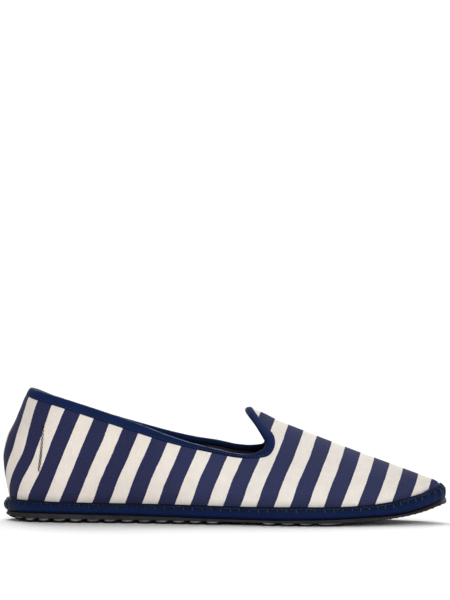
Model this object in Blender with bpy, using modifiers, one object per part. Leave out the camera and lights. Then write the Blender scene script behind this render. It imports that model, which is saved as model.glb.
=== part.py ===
"""Striped canvas slipper loafer, right shoe: canvas upper, ribbon binding, cloth midsole, tread sole.

Metres, +Z up.  +X points to the toe and -Y to the outer side of the foot.  The origin lies on the
floor, under the middle of the shoe.  Tables and shape functions work in millimetres, measured from
the back of the heel, and to_world turns them into metres.
"""
import math

import bmesh
import bpy
import numpy as np

# ---------------------------------------------------------------- driving dimensions (millimetres)
LENGTH = 264.0             # heel to toe
STATIONS = 30              # stations from heel to toe, the same on both sides
TIP_CROWDING = 0.75        # how much closer the stations stand at the heel and the toe
WALL_ROWS = 11             # rows of faces up the wall
CURVE_STEPS = 400          # fine steps along a section, to find where it passes the collar
OUTLINE_STEPS = 3000       # fine points along one side of the sole's outline
MERGE = 1e-6               # metres within which two corners are one
SHARP_ANGLE = 40.0         # degrees between two faces above which their edge shows
WALL = 1.8                 # canvas and lining together
GAP = 0.3                  # clearance between neighbouring pieces
BINDING_CLOTH = 0.9        # thickness of the folded ribbon
UPPER_INSET = 3.0          # foot of the upper, inside the midsole's edge
FOOT_DROP = 1.5            # the wall is drawn this much lower and cut off level with its seat
RIM_HEIGHT = 2.2           # how far the ribbon edge rises round the upper
INSOLE_THICKNESS = 2.2
INSOLE_BEVEL = 0.5
INSOLE_INSET = 5.6
INSOLE_TOE_INSET = 5.0     # more inset at the toe, where the vamp comes down low
INSOLE_TOE = (225.0, 255.0)  # where that begins and is complete
OUTSOLE_INSET = 0.8        # of the slab, inside the midsole's edge
OUTSOLE_TOE_REACH = 1.2    # how far that inset turns outwards by the toe
SEAT_BLOCK_REACH = 8.0     # the seat's cutter reaches this far outside the sole
SEAT_BLOCK_DEPTH = 25.0
TOE_SPRING = 12.0          # lift of the sole's tip
TOE_SPRING_START = 176.0
TOE_SPRING_POWER = 2.4
HEEL_ROLL = 1.6            # lift of the tread at the back edge of the heel
HEEL_ROLL_START = 17.0

# ---------------------------------------------------------------- tables (millimetres)
# Sole outline seen from above: x from the heel, then y of the outer and of the inner side.
HEEL_TIP = (1.3, 0.0)
TOE_TIP = (263.8, 7.5)
SOLE_OUTLINE = (
    # x,     outer,  inner
    (6.0,   -15.6,   15.6),
    (15.0,  -24.3,   24.3),
    (32.0,  -29.2,   29.0),
    (60.0,  -29.8,   28.8),
    (92.0,  -31.0,   28.6),
    (122.0, -35.2,   31.6),
    (150.0, -40.4,   37.6),
    (172.0, -42.8,   42.2),
    (192.0, -41.0,   44.0),
    (212.0, -34.8,   42.4),
    (230.0, -25.4,   37.4),
    (245.0, -14.6,   30.2),
    (256.0, -4.4,    22.0),
)

# Heights along the sole: outsole with its lugs, lugs alone, and the ribbon edge above it.
SOLE_HEIGHTS = (
    # x,     outsole, lug,  ribbon
    (0.0,    5.9,    3.2,   7.4),
    (16.0,   5.8,    3.1,   6.9),
    (95.0,   4.8,    2.7,   6.8),
    (150.0,  4.2,    2.4,   6.8),
    (180.0,  3.9,    2.1,   7.3),
    (210.0,  3.5,    1.7,   7.5),
    (230.0,  3.0,    1.3,   8.1),
    (253.0,  2.6,    0.9,   9.2),
    (264.0,  2.4,    0.7,   9.3),
)

# Ridge of the last, from above the heel seat to the toe.  Behind the throat it is only a guide.
RIDGE = (
    # x,     y,     z
    (29.5,   0.0,   110.0),
    (60.0,   0.0,   100.0),
    (90.0,   0.0,   91.0),
    (115.0,  0.2,   78.0),
    (136.0,  0.6,   69.0),
    (143.0,  0.8,   67.5),
    (148.5,  1.0,   66.8),
    (154.0,  1.1,   65.0),
    (162.0,  1.4,   61.3),
    (178.0,  2.2,   54.9),
    (200.0,  3.5,   46.5),
    (225.0,  5.3,   37.4),
    (248.0,  6.7,   29.1),
    (257.0,  7.2,   25.8),
)
HEEL_FAN = (29.5, 60.0)    # spine at the very back, and where the sections become square
TOE_FAN = (205.0, 6.5)     # where the sections start to turn, and how far the last one leans back
CLOSING = (92.0, 120.0)    # between these the wall, cut later by the collar, grows up to the ridge
ABOVE_COLLAR = 7.0         # how far behind that the wall is drawn past the collar
SIDE_COLLAR_ROWS = 11      # rows of the collar's table up to its lowest point

# Half section of the last at each station: handles of one cubic from the foot of the wall to the ridge.
SECTIONS = (
    # x,     flare, rise,  crown, crown_drop
    (4.3,    11.8,  43.0,  0.97,  65.0),
    (14.0,   11.5,  42.0,  1.00,  56.0),
    (33.0,   7.5,   37.0,  1.08,  38.0),
    (60.0,   7.0,   36.0,  1.06,  30.0),
    (90.0,   6.0,   32.0,  0.95,  22.0),
    (120.0,  5.0,   30.0,  0.60,  10.0),
    (143.0,  4.0,   27.0,  0.28,  0.0),
    (165.0,  3.6,   23.0,  0.30,  0.0),
    (205.0,  2.6,   16.5,  0.34,  0.0),
    (235.0,  1.6,   10.0,  0.40,  0.0),
    (261.0,  0.4,   4.4,   0.60,  0.0),
)

# Section of the ribbon-bound edge, upwards: inset from the outline, share of its height, and drop.
BAND_SECTION = (
    # inset, share, drop
    (1.5,    0.0,   0.0),
    (0.45,   0.10,  0.0),
    (0.0,    0.34,  0.0),
    (0.05,   0.66,  0.0),
    (0.45,   0.90,  0.0),
    (1.1,    1.0,   0.0),
    (1.9,    1.0,   0.15),
    (2.6,    1.0,   RIM_HEIGHT),
)

# Section of the outsole's slab: extra inset and how far from its underside, then from its top.
SLAB_LOW = (
    # inset, lift
    (0.6,    0.0),
    (0.1,    0.4),
)
SLAB_TOP = (
    # inset, drop
    (0.0,    0.3),
    (0.4,    0.0),
)

# Collar seen from the side, from behind the heel round the throat to the peak: height on the outer
# side, how much higher the inner side is, and the width of ribbon that shows.
TOPLINE = (
    # x,     z,     inner_rise, ribbon
    (-12.0,  87.6,  0.0,   5.0),
    (2.0,    83.2,  0.0,   5.0),
    (15.5,   78.9,  0.0,   5.0),
    (34.8,   73.2,  -2.4,  5.0),
    (59.0,   65.7,  -2.2,  5.0),
    (81.7,   58.1,  -0.9,  4.6),
    (98.7,   52.0,  0.8,   4.1),
    (114.0,  47.3,  2.2,   3.4),
    (128.0,  44.0,  3.4,   3.0),
    (139.0,  41.7,  3.4,   2.9),
    (146.5,  41.3,  3.1,   3.0),
    (151.5,  43.0,  2.2,   3.9),
    (155.0,  45.8,  0.8,   5.0),
    (155.6,  48.6,  0.0,   5.3),
    (153.6,  52.8,  0.0,   5.0),
    (150.8,  57.4,  0.0,   4.8),
    (147.3,  62.2,  0.0,   4.8),
    (144.0,  66.4,  0.0,   4.9),
    (142.8,  69.6,  0.0,   5.0),
    (142.4,  74.0,  0.0,   5.0),
)
COLLAR_SIDE = 20.0         # the collar keeps its own side's height beyond this distance from the middle
COLLAR_STEPS = 2           # cuts between two rows of the collar's table
CUTTER_REACH = 75.0        # half width of the collar cutters
CUTTER_TOP = 125.0
CUTTER_BACK = -30.0

# Lugs: rows of slanted blocks, placed by their share of the way from the edge to the middle.  The
# edge of the waist and of the toe is left plain.
LUG_PITCH = 10.2
LUG_LENGTH = 6.6
LUG_ROOT = 0.6             # how deep a lug stands in the slab
LUG_ROWS = (
    # start, end,   outer_share, inner_share, slant
    (9.0,    130.0, 0.015,       0.36,        6.5),
    (153.0,  188.0, 0.015,       0.36,        6.5),
    (14.0,   232.0, 0.46,        0.86,       -6.5),
)


# ---------------------------------------------------------------- curves
def tangents(knots, values):
    """Slopes at the knots for a smooth cubic through them."""
    steps = np.diff(knots)
    slopes = np.diff(values, axis=0) / steps[:, None]
    inner = (slopes[:-1] * steps[1:, None] + slopes[1:] * steps[:-1, None]) / (steps[:-1] + steps[1:])[:, None]
    return np.vstack([slopes[:1], inner, slopes[-1:]])


def smooth_curve(knots, values, at):
    """Values of the smooth cubic through (knots, values), at any number of places."""
    knots = np.asarray(knots, float)
    values = np.asarray(values, float).reshape(len(knots), -1)
    slopes = tangents(knots, values)
    at = np.clip(np.atleast_1d(at), knots[0], knots[-1])
    span = np.clip(np.searchsorted(knots, at, side="right") - 1, 0, len(knots) - 2)
    step = (knots[span + 1] - knots[span])[:, None]
    t = ((at - knots[span])[:, None]) / step
    start, end = values[span], values[span + 1]
    leave, arrive = slopes[span] * step, slopes[span + 1] * step
    return ((2 * t**3 - 3 * t**2 + 1) * start + (t**3 - 2 * t**2 + t) * leave
            + (3 * t**2 - 2 * t**3) * end + (t**3 - t**2) * arrive)


def column(table, index, x):
    """One column of a table, read smoothly at x."""
    rows = np.asarray(table, float)
    found = smooth_curve(rows[:, 0], rows[:, index], x)[:, 0]
    return found if np.ndim(x) else float(found[0])


def smooth_path(points, steps):
    """A smooth open path through the given points, with steps pieces between one and the next."""
    points = np.asarray(points, float)
    knots = np.concatenate([[0.0], np.cumsum(np.linalg.norm(np.diff(points, axis=0), axis=1))])
    places = np.interp(np.arange((len(points) - 1) * steps + 1) / steps, np.arange(len(points)), knots)
    return smooth_curve(knots, points, places)


def smooth_step(value):
    value = np.clip(value, 0.0, 1.0)
    return value * value * (3 - 2 * value)


# ---------------------------------------------------------------- the sole's outline and heights
def outline_side(index):
    """Dense points of one side of the sole, heel to toe; the far side lends the ends their roundness."""
    other = 3 - index
    side = [(row[0], row[index]) for row in SOLE_OUTLINE]
    back = (SOLE_OUTLINE[0][0], SOLE_OUTLINE[0][other])
    front = (SOLE_OUTLINE[-1][0], SOLE_OUTLINE[-1][other])
    path = np.array([back, HEEL_TIP, *side, TOE_TIP, front])
    knots = np.concatenate([[0.0], np.cumsum(np.linalg.norm(np.diff(path, axis=0), axis=1))])
    return smooth_curve(knots, path, np.linspace(knots[1], knots[-2], OUTLINE_STEPS))


def outline_stations():
    """For each side, the station points of the sole's edge and their inward normals."""
    turn = (1 - np.cos(np.linspace(0.0, math.pi, STATIONS + 1))) / 2
    even = np.linspace(0.0, 1.0, STATIONS + 1)
    share = TIP_CROWDING * turn + (1 - TIP_CROWDING) * even
    share_x = HEEL_TIP[0] + (TOE_TIP[0] - HEEL_TIP[0]) * share
    sides = []
    for index, inward in ((1, 1.0), (2, -1.0)):
        dense = outline_side(index)
        along = np.gradient(dense, axis=0)
        along /= np.linalg.norm(along, axis=1)[:, None]
        normal = np.stack([-along[:, 1], along[:, 0]], axis=1) * inward
        place = np.interp(share_x, dense[:, 0], np.arange(len(dense)))
        points = np.stack([np.interp(place, np.arange(len(dense)), dense[:, k]) for k in (0, 1)], axis=1)
        normals = np.stack([np.interp(place, np.arange(len(dense)), normal[:, k]) for k in (0, 1)], axis=1)
        points[0], points[-1] = HEEL_TIP, TOE_TIP
        normals[0], normals[-1] = (1.0, 0.0), (-1.0, 0.0)
        sides.append((points, normals))
    return sides


SIDES = outline_stations()


def edge_point(side, inset):
    """Station points of one side, moved inwards by inset, one value or one for each station."""
    points, normals = SIDES[side]
    return points + normals * np.broadcast_to(np.asarray(inset, float), (len(points),))[:, None]


def floor_height(x):
    """Underside of the lugs: flat under the foot, rising at the toe and at the back edge."""
    toe = np.clip((x - TOE_SPRING_START) / (LENGTH - TOE_SPRING_START), 0.0, None)
    heel = np.clip((HEEL_ROLL_START - x) / HEEL_ROLL_START, 0.0, None)
    return TOE_SPRING * toe**TOE_SPRING_POWER + HEEL_ROLL * heel**2


def slab_bottom(x):
    return floor_height(x) + column(SOLE_HEIGHTS, 2, x)


def ribbon_bottom(x):
    spring = floor_height(np.maximum(x, HEEL_ROLL_START))
    return spring + column(SOLE_HEIGHTS, 1, x)


def ribbon_top(x):
    return ribbon_bottom(x) + column(SOLE_HEIGHTS, 3, x)


def seat(x):
    """Top of the midsole inside its rim, where upper and insole stand."""
    return ribbon_top(x) - RIM_HEIGHT


# ---------------------------------------------------------------- the last
def spine_point(x):
    """Where the half section that starts at x on the sole meets the ridge, and the ridge's slope there."""
    back, square = HEEL_FAN
    turn, lean = TOE_FAN
    heel_x = HEEL_TIP[0] + UPPER_INSET
    toe_x = TOE_TIP[0] - UPPER_INSET
    behind = np.clip((square - x) / (square - heel_x), 0.0, 1.0)
    ahead = np.clip((x - turn) / (toe_x - turn), 0.0, 1.0)
    spine_x = x + (back - heel_x) * behind**2 - lean * ahead**2
    slope = (column(RIDGE, 2, spine_x + 1.0) - column(RIDGE, 2, spine_x - 1.0)) / 2
    return np.array([spine_x, column(RIDGE, 1, spine_x), column(RIDGE, 2, spine_x)]), slope


def half_section(side, station):
    """Control points of one half section: foot, flare handle, crown handle and ridge."""
    foot_xy = edge_point(side, UPPER_INSET)[station]
    pair_x = (edge_point(0, UPPER_INSET)[station][0] + edge_point(1, UPPER_INSET)[station][0]) / 2
    spine, slope = spine_point(pair_x)
    reach = foot_xy - spine[:2]
    width = np.linalg.norm(reach)
    outward = reach / width
    flare, rise, crown, crown_drop = (column(SECTIONS, k, pair_x) for k in (1, 2, 3, 4))
    foot_z = seat(foot_xy[0])
    foot = np.array([*foot_xy, foot_z])
    flare_handle = foot + np.array([*(outward * flare), rise])
    crown_rise = slope * outward[0] * crown * width if pair_x > HEEL_FAN[1] else 0.0
    crown_handle = spine + np.array([*(outward * crown * width), crown_rise - crown_drop])
    lower = (flare_handle - foot) / np.linalg.norm(flare_handle - foot)
    return foot - lower * FOOT_DROP, flare_handle, crown_handle, spine


def bezier(controls, t):
    a, b, c, d = controls
    t = np.asarray(t)[:, None]
    return (1 - t)**3 * a + 3 * (1 - t)**2 * t * b + 3 * (1 - t) * t**2 * c + t**3 * d


def wall_column(side, station):
    """Points up one half section.  Behind the throat the column stops a little above the collar."""
    controls = half_section(side, station)
    fine = bezier(controls, np.linspace(0.0, 1.0, CURVE_STEPS))
    goal = column(TOPLINE[:SIDE_COLLAR_ROWS], 1, controls[0][0]) + ABOVE_COLLAR
    reached = np.argmax(fine[:, 2] > goal) / (len(fine) - 1)
    to_ridge = smooth_step((controls[0][0] - CLOSING[0]) / (CLOSING[1] - CLOSING[0]))
    stop = reached + (1.0 - reached) * to_ridge
    return bezier(controls, np.linspace(0.0, stop, WALL_ROWS + 1))


# ---------------------------------------------------------------- meshes
def world_shift():
    """Middle of the shoe seen from above."""
    y_values = np.concatenate([edge_point(0, 0.0)[:, 1], edge_point(1, 0.0)[:, 1]])
    return np.array([LENGTH / 2, (y_values.min() + y_values.max()) / 2, 0.0])


SHIFT = world_shift()


def to_world(point):
    return tuple((np.asarray(point, float) - SHIFT) * 0.001)


def material(name, colour, roughness):
    made = bpy.data.materials.new(name)
    made.use_nodes = True
    shader = made.node_tree.nodes["Principled BSDF"]
    shader.inputs["Base Color"].default_value = (*colour, 1.0)
    shader.inputs["Roughness"].default_value = roughness
    shader.inputs["Metallic"].default_value = 0.0
    return made


def new_object(name, collection, vertices, faces, finish=None):
    """A mesh object of triangles with merged seams and outward faces, so that no face is twisted."""
    mesh = bpy.data.meshes.new(name)
    mesh.from_pydata([to_world(v) for v in vertices], [], faces)
    shape = bmesh.new()
    shape.from_mesh(mesh)
    bmesh.ops.remove_doubles(shape, verts=shape.verts, dist=MERGE)
    bmesh.ops.dissolve_degenerate(shape, edges=shape.edges, dist=MERGE / 10)
    bmesh.ops.triangulate(shape, faces=shape.faces)
    bmesh.ops.recalc_face_normals(shape, faces=shape.faces)
    shape.to_mesh(mesh)
    shape.free()
    mesh.shade_smooth()
    mesh.set_sharp_from_angle(angle=math.radians(SHARP_ANGLE))
    made = bpy.data.objects.new(name, mesh)
    collection.objects.link(made)
    if finish:
        mesh.materials.append(finish)
    return made


def edge_ring(inset, height):
    """Closed ring of points round the sole: heel, outer side, toe, inner side.  height is read at x."""
    outer = edge_point(0, inset)
    inner = edge_point(1, inset)
    loop = np.vstack([outer, inner[-2:0:-1]])
    return np.column_stack([loop, height(loop[:, 0])])


def stacked_rings(name, collection, rings, finish):
    """A closed solid from rings of stations: walls between the rings, ladders of faces over the ends."""
    count = 2 * STATIONS
    vertices = np.vstack(rings)
    faces = []
    for level in range(len(rings) - 1):
        for k in range(count):
            a = level * count + k
            b = level * count + (k + 1) % count
            faces.append((a, b, b + count, a + count))
    for base in (0, (len(rings) - 1) * count):
        for k in range(STATIONS):
            corners = (k, k + 1, count - k - 1, (count - k) % count)
            face = [base + c for c in dict.fromkeys(corners)]
            faces.append(face)
    return new_object(name, collection, vertices, faces, finish)


def boolean(target, tool, operation):
    step = target.modifiers.new(f"{operation.lower()} {tool.name}", "BOOLEAN")
    step.operation = operation
    step.solver = "EXACT"
    step.object = tool
    return step


def as_cutter(made):
    made.hide_render = True
    made.display_type = "WIRE"
    return made


def collar_cutter(name, collection, depth, along_ribbon=False):
    """Everything above the collar line, lowered into the wall by depth, or by the ribbon's width."""
    path = smooth_path(TOPLINE, COLLAR_STEPS)
    step = np.gradient(path[:, :2], axis=0)
    step /= np.linalg.norm(step, axis=1)[:, None]
    into_wall = np.column_stack([step[:, 1], -step[:, 0]])
    amount = path[:, 3] if along_ribbon else np.full(len(path), depth)
    line = path[:, :2] + into_wall * amount[:, None]
    corners = np.array([(line[-1, 0], CUTTER_TOP), (CUTTER_BACK, CUTTER_TOP), (CUTTER_BACK, line[0, 1])])
    outline = np.vstack([line, corners])
    rise = np.concatenate([path[:, 2], np.zeros(len(corners))])
    count = len(outline)
    rails = ((-CUTTER_REACH, 0.0), (-COLLAR_SIDE, 0.0), (COLLAR_SIDE, 1.0), (CUTTER_REACH, 1.0))
    vertices = [(x, y, z + r * share) for y, share in rails for (x, z), r in zip(outline, rise)]
    faces = [tuple(range(count)), tuple(range(3 * count, 4 * count))]
    for first in (0, count, 2 * count):
        for k in range(count):
            after = (k + 1) % count
            faces.append((first + k, first + after, first + after + count, first + k + count))
    return as_cutter(new_object(name, collection, vertices, faces))


def last_shell(name, collection, outside, inside, finish=None):
    """The wall of the last as one open surface with thickness: outside and inside of the last's face."""
    columns = [wall_column(0, k) for k in range(STATIONS + 1)]
    columns += [wall_column(1, k) for k in range(STATIONS - 1, 0, -1)]
    rows = WALL_ROWS + 1
    count = len(columns)
    vertices = np.vstack(columns)
    faces = []
    for k in range(count):
        for j in range(WALL_ROWS):
            a = k * rows + j
            b = ((k + 1) % count) * rows + j
            faces.append((a, b, b + 1, a + 1))
    made = new_object(name, collection, vertices, faces, finish)
    skin = made.modifiers.new("wall thickness", "SOLIDIFY")
    thickness = outside + inside
    skin.thickness = thickness * 0.001
    skin.offset = 2 * outside / thickness - 1
    skin.use_even_offset = True
    return made


# ---------------------------------------------------------------- the pieces
def make_outsole(parts, cutters, finish):
    def inset(extra):
        x = SIDES[0][0][:, 0]
        return OUTSOLE_INSET - OUTSOLE_TOE_REACH * (x / LENGTH)**4 + extra

    low = [edge_ring(inset(extra), lambda x, up=lift: slab_bottom(x) + up) for extra, lift in SLAB_LOW]
    top = [edge_ring(inset(extra), lambda x, down=drop: ribbon_bottom(x) - GAP - down)
           for extra, drop in SLAB_TOP]
    slab = stacked_rings("outsole", parts, low + top, finish)
    boolean(slab, lug_blocks(cutters), "UNION")
    return slab


def lug_blocks(cutters):
    """Slanted blocks under both edges, whose undersides lie on the floor's line."""
    vertices, faces = [], []
    place = SIDES[0][0][:, 0]

    def under(side, x, share, z):
        edge = edge_point(side, OUTSOLE_INSET)
        half = edge_point(1 - side, OUTSOLE_INSET)
        y_edge = np.interp(x, place, edge[:, 1])
        y_middle = (y_edge + np.interp(x, place, half[:, 1])) / 2
        return (x, y_edge + (y_middle - y_edge) * share, z)

    quads = ((0, 1, 2, 3), (4, 5, 6, 7), (0, 1, 5, 4), (1, 2, 6, 5), (2, 3, 7, 6), (3, 0, 4, 7))
    for side in (0, 1):
        for first, end, outer_share, inner_share, slant in LUG_ROWS:
            for start in np.arange(first, end, LUG_PITCH):
                base = len(vertices)
                corners = ((start, outer_share), (start + LUG_LENGTH, outer_share),
                           (start + LUG_LENGTH + slant, inner_share), (start + slant, inner_share))
                vertices += [under(side, x, share, float(floor_height(x))) for x, share in corners]
                vertices += [under(side, x, share, float(slab_bottom(x)) + LUG_ROOT) for x, share in corners]
                faces += [tuple(base + q for q in quad) for quad in quads]
    return as_cutter(new_object("lug blocks", cutters, vertices, faces))


def make_midsole(parts, finish):
    def level(share, drop):
        return lambda x: ribbon_bottom(x) + share * (ribbon_top(x) - ribbon_bottom(x)) - drop

    rings = [edge_ring(inset, level(share, drop)) for inset, share, drop in BAND_SECTION]
    return stacked_rings("midsole", parts, rings, finish)


def make_upper(parts, cutters, finish):
    upper = last_shell("upper", parts, 0.0, WALL, finish)
    boolean(upper, collar_cutter("collar line cutter", cutters, GAP + BINDING_CLOTH), "DIFFERENCE")
    boolean(upper, seat_block("seat cutter", cutters, GAP), "DIFFERENCE")
    return upper


def seat_block(name, cutters, lift):
    """The space under the upper and insole: everything below the seat."""
    rings = [edge_ring(-SEAT_BLOCK_REACH, lambda x: seat(x) - SEAT_BLOCK_DEPTH),
             edge_ring(-SEAT_BLOCK_REACH, lambda x: seat(x) + lift)]
    return as_cutter(stacked_rings(name, cutters, rings, None))


def make_insole(parts, finish):
    begin, end = INSOLE_TOE
    x = SIDES[0][0][:, 0]
    inset = INSOLE_INSET + INSOLE_TOE_INSET * smooth_step((x - begin) / (end - begin))
    rings = [edge_ring(inset, lambda v: seat(v) + GAP),
             edge_ring(inset, lambda v: seat(v) + GAP + INSOLE_THICKNESS - INSOLE_BEVEL),
             edge_ring(inset + INSOLE_BEVEL, lambda v: seat(v) + GAP + INSOLE_THICKNESS)]
    return stacked_rings("insole", parts, rings, finish)


def make_collar_binding(parts, cutters, finish):
    """Folded ribbon: a skin outside and inside the wall, joined over the wall's top edge."""
    cloth = BINDING_CLOTH + GAP
    binding = last_shell("collar_binding", parts, cloth, WALL + cloth, finish)
    boolean(binding, collar_cutter("ribbon edge cutter", cutters, 0.0, along_ribbon=True), "INTERSECT")
    boolean(binding, collar_cutter("ribbon fold cutter", cutters, 0.0), "DIFFERENCE")
    room = as_cutter(last_shell("wall room", cutters, GAP, WALL + GAP))
    boolean(room, collar_cutter("wall room top", cutters, BINDING_CLOTH), "DIFFERENCE")
    boolean(binding, room, "DIFFERENCE")
    return binding


def main():
    for old in list(bpy.data.objects):
        bpy.data.objects.remove(old, do_unlink=True)
    parts = bpy.data.collections.new("slipper loafer")
    cutters = bpy.data.collections.new("cutters")
    for group in (parts, cutters):
        bpy.context.scene.collection.children.link(group)
    canvas = material("striped cotton canvas", (0.045, 0.05, 0.13), 0.85)
    ribbon = material("navy ribbon", (0.015, 0.03, 0.09), 0.6)
    edge = material("ribbon bound cloth", (0.012, 0.022, 0.07), 0.7)
    rubber = material("tread rubber", (0.02, 0.02, 0.022), 0.7)
    lining = material("dark sock cloth", (0.012, 0.014, 0.03), 0.9)
    make_outsole(parts, cutters, rubber)
    make_midsole(parts, edge)
    make_upper(parts, cutters, canvas)
    make_insole(parts, lining)
    make_collar_binding(parts, cutters, ribbon)


main()
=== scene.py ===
"""Striped canvas slipper loafer, right shoe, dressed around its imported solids.

The frame is in metres, +X towards the toe and -Y towards the outer side of the foot.  Tables and
shape functions work in millimetres from the back of the heel, as in the part's own source, and
to_world turns them into metres.
"""
import math
from functools import partial

import bmesh
import bpy
import numpy as np
from bpy.props import FloatProperty, FloatVectorProperty, PointerProperty
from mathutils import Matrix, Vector
from mathutils.bvhtree import BVHTree


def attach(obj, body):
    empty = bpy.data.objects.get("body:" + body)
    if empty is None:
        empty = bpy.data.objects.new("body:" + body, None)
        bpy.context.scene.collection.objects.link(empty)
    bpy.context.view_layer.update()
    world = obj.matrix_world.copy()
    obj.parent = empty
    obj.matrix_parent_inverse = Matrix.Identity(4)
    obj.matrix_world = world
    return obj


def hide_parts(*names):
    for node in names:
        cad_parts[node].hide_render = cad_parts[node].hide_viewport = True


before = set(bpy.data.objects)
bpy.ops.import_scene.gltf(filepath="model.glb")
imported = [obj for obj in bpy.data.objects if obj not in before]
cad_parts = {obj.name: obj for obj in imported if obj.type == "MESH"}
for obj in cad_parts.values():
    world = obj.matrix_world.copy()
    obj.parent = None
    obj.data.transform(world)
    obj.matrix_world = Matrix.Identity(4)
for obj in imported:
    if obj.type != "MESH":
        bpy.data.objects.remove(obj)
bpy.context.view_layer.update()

bl_info = {
    "name": "Striped Canvas Slipper",
    "version": (1, 0, 0),
    "blender": (4, 5, 0),
    "location": "3D View > Sidebar > Slipper",
    "description": "Dresses the packed solids of a striped canvas slipper loafer",
    "category": "Object",
}

# ---------------------------------------------------------------- sizes shared with the solids (millimetres)
MM = 0.001
LENGTH = 264.0
MIDDLE_Y = 0.63            # middle of the shoe seen from above, in the tables' own y
MIDDLE = np.array([LENGTH / 2, MIDDLE_Y, 0.0])    # the frame's origin, in the tables' own places
WALL = 1.8
GAP = 0.3
BINDING_CLOTH = 0.9
UPPER_INSET = 3.0
FOOT_DROP = 1.5
RIM_HEIGHT = 2.2
INSOLE_THICKNESS = 2.2
INSOLE_INSET = 5.6
INSOLE_TOE_INSET = 5.0
INSOLE_TOE = (225.0, 255.0)
TOE_SPRING = 12.0
TOE_SPRING_START = 176.0
TOE_SPRING_POWER = 2.4
HEEL_ROLL = 1.6
HEEL_ROLL_START = 17.0
OUTSOLE_INSET = 0.8
OUTSOLE_TOE_REACH = 1.2

# Sole outline seen from above: x from the heel, then y of the outer and of the inner side.
HEEL_TIP = (1.3, 0.0)
TOE_TIP = (263.8, 7.5)
SOLE_OUTLINE = (
    # x,     outer,  inner
    (6.0,   -15.6,   15.6),
    (15.0,  -24.3,   24.3),
    (32.0,  -29.2,   29.0),
    (60.0,  -29.8,   28.8),
    (92.0,  -31.0,   28.6),
    (122.0, -35.2,   31.6),
    (150.0, -40.4,   37.6),
    (172.0, -42.8,   42.2),
    (192.0, -41.0,   44.0),
    (212.0, -34.8,   42.4),
    (230.0, -25.4,   37.4),
    (245.0, -14.6,   30.2),
    (256.0, -4.4,    22.0),
)

# Heights along the sole: outsole with its lugs, lugs alone, and the ribbon edge above it.
SOLE_HEIGHTS = (
    # x,     outsole, lug,  ribbon
    (0.0,    5.9,    3.2,   7.4),
    (16.0,   5.8,    3.1,   6.9),
    (95.0,   4.8,    2.7,   6.8),
    (150.0,  4.2,    2.4,   6.8),
    (180.0,  3.9,    2.1,   7.3),
    (210.0,  3.5,    1.7,   7.5),
    (230.0,  3.0,    1.3,   8.1),
    (253.0,  2.6,    0.9,   9.2),
    (264.0,  2.4,    0.7,   9.3),
)

# Ridge of the last, from above the heel seat to the toe.  Behind the throat it is only a guide.
RIDGE = (
    # x,     y,     z
    (29.5,   0.0,   110.0),
    (60.0,   0.0,   100.0),
    (90.0,   0.0,   91.0),
    (115.0,  0.2,   78.0),
    (136.0,  0.6,   69.0),
    (143.0,  0.8,   67.5),
    (148.5,  1.0,   67.2),
    (154.0,  1.1,   65.2),
    (162.0,  1.4,   61.3),
    (178.0,  2.2,   54.9),
    (200.0,  3.5,   46.5),
    (225.0,  5.3,   37.4),
    (248.0,  6.7,   29.1),
    (257.0,  7.2,   25.8),
)
HEEL_FAN = (29.5, 60.0)
TOE_FAN = (205.0, 6.5)

# Half section of the last: handles of one cubic from the foot of the wall to the ridge.
SECTIONS = (
    # x,     flare, rise,  crown, crown_drop
    (4.3,    11.8,  43.0,  0.97,  65.0),
    (14.0,   11.5,  42.0,  1.00,  56.0),
    (33.0,   7.5,   37.0,  1.08,  38.0),
    (60.0,   7.0,   36.0,  1.06,  30.0),
    (90.0,   6.0,   32.0,  0.95,  22.0),
    (120.0,  5.0,   30.0,  0.60,  10.0),
    (143.0,  4.0,   27.0,  0.28,  0.0),
    (165.0,  3.6,   23.0,  0.30,  0.0),
    (205.0,  2.6,   16.5,  0.34,  0.0),
    (235.0,  1.6,   10.0,  0.40,  0.0),
    (261.0,  0.4,   4.4,   0.60,  0.0),
)

# Collar seen from the side, from behind the heel round the throat to the peak.
TOPLINE = (
    # x,     z,     inner_rise, ribbon
    (-12.0,  88.05, 0.0,   6.45),
    (2.0,    83.65, 0.0,   6.45),
    (15.5,   79.35, 0.0,   6.25),
    (34.8,   73.7,  -2.4,  5.9),
    (59.0,   66.2,  -2.2,  6.0),
    (81.7,   58.55, -0.9,  5.6),
    (98.7,   52.2,  1.0,   4.5),
    (114.0,  47.5,  2.5,   3.5),
    (128.0,  44.3,  3.7,   3.0),
    (139.0,  42.15, 3.6,   2.9),
    (146.5,  41.85, 3.3,   3.0),
    (151.5,  43.3,  2.2,   4.3),
    (155.0,  45.8,  0.8,   5.6),
    (155.6,  48.6,  0.0,   5.8),
    (153.6,  52.8,  0.0,   5.0),
    (150.8,  57.4,  0.0,   4.0),
    (147.3,  62.2,  0.0,   3.6),
    (144.0,  66.4,  0.0,   4.3),
    (142.8,  69.6,  0.0,   4.7),
    (142.4,  74.0,  0.0,   4.8),
)
COLLAR_STEPS = 12          # points of the collar's line for each row of the table
HEEL_PROUD = 1.3           # how far the ribbon stands off behind the heel, where its ends overlap
HEEL_PROUD_END = 20.0
FOLD_HEIGHT = 1.7          # height of the ribbon's rounded fold over the canvas edge
FOLD_TURNS = (25.0, 50.0, 75.0, 90.0, 105.0, 130.0, 155.0)   # degrees, from the outer to the inner side
RIBBON_RIPPLES = (3.1, 7.7)   # lengths of the small ripples along the ribbon
RIPPLE_HEIGHT = 0.05
RIBBON_CROWN = 1.12        # height of the ribbon under its stitches, as a share of its rise
STITCH_MARGIN = 0.9        # from the ribbon's lower edge to its stitches
COLLAR_THREAD = 0.17       # radius of their thread
COLLAR_STITCH = (
    # share of the pitch, lift
    (0.0,   -0.10),
    (0.155, 0.10),
    (0.465, 0.10),
    (0.62,  -0.10),
)

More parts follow.
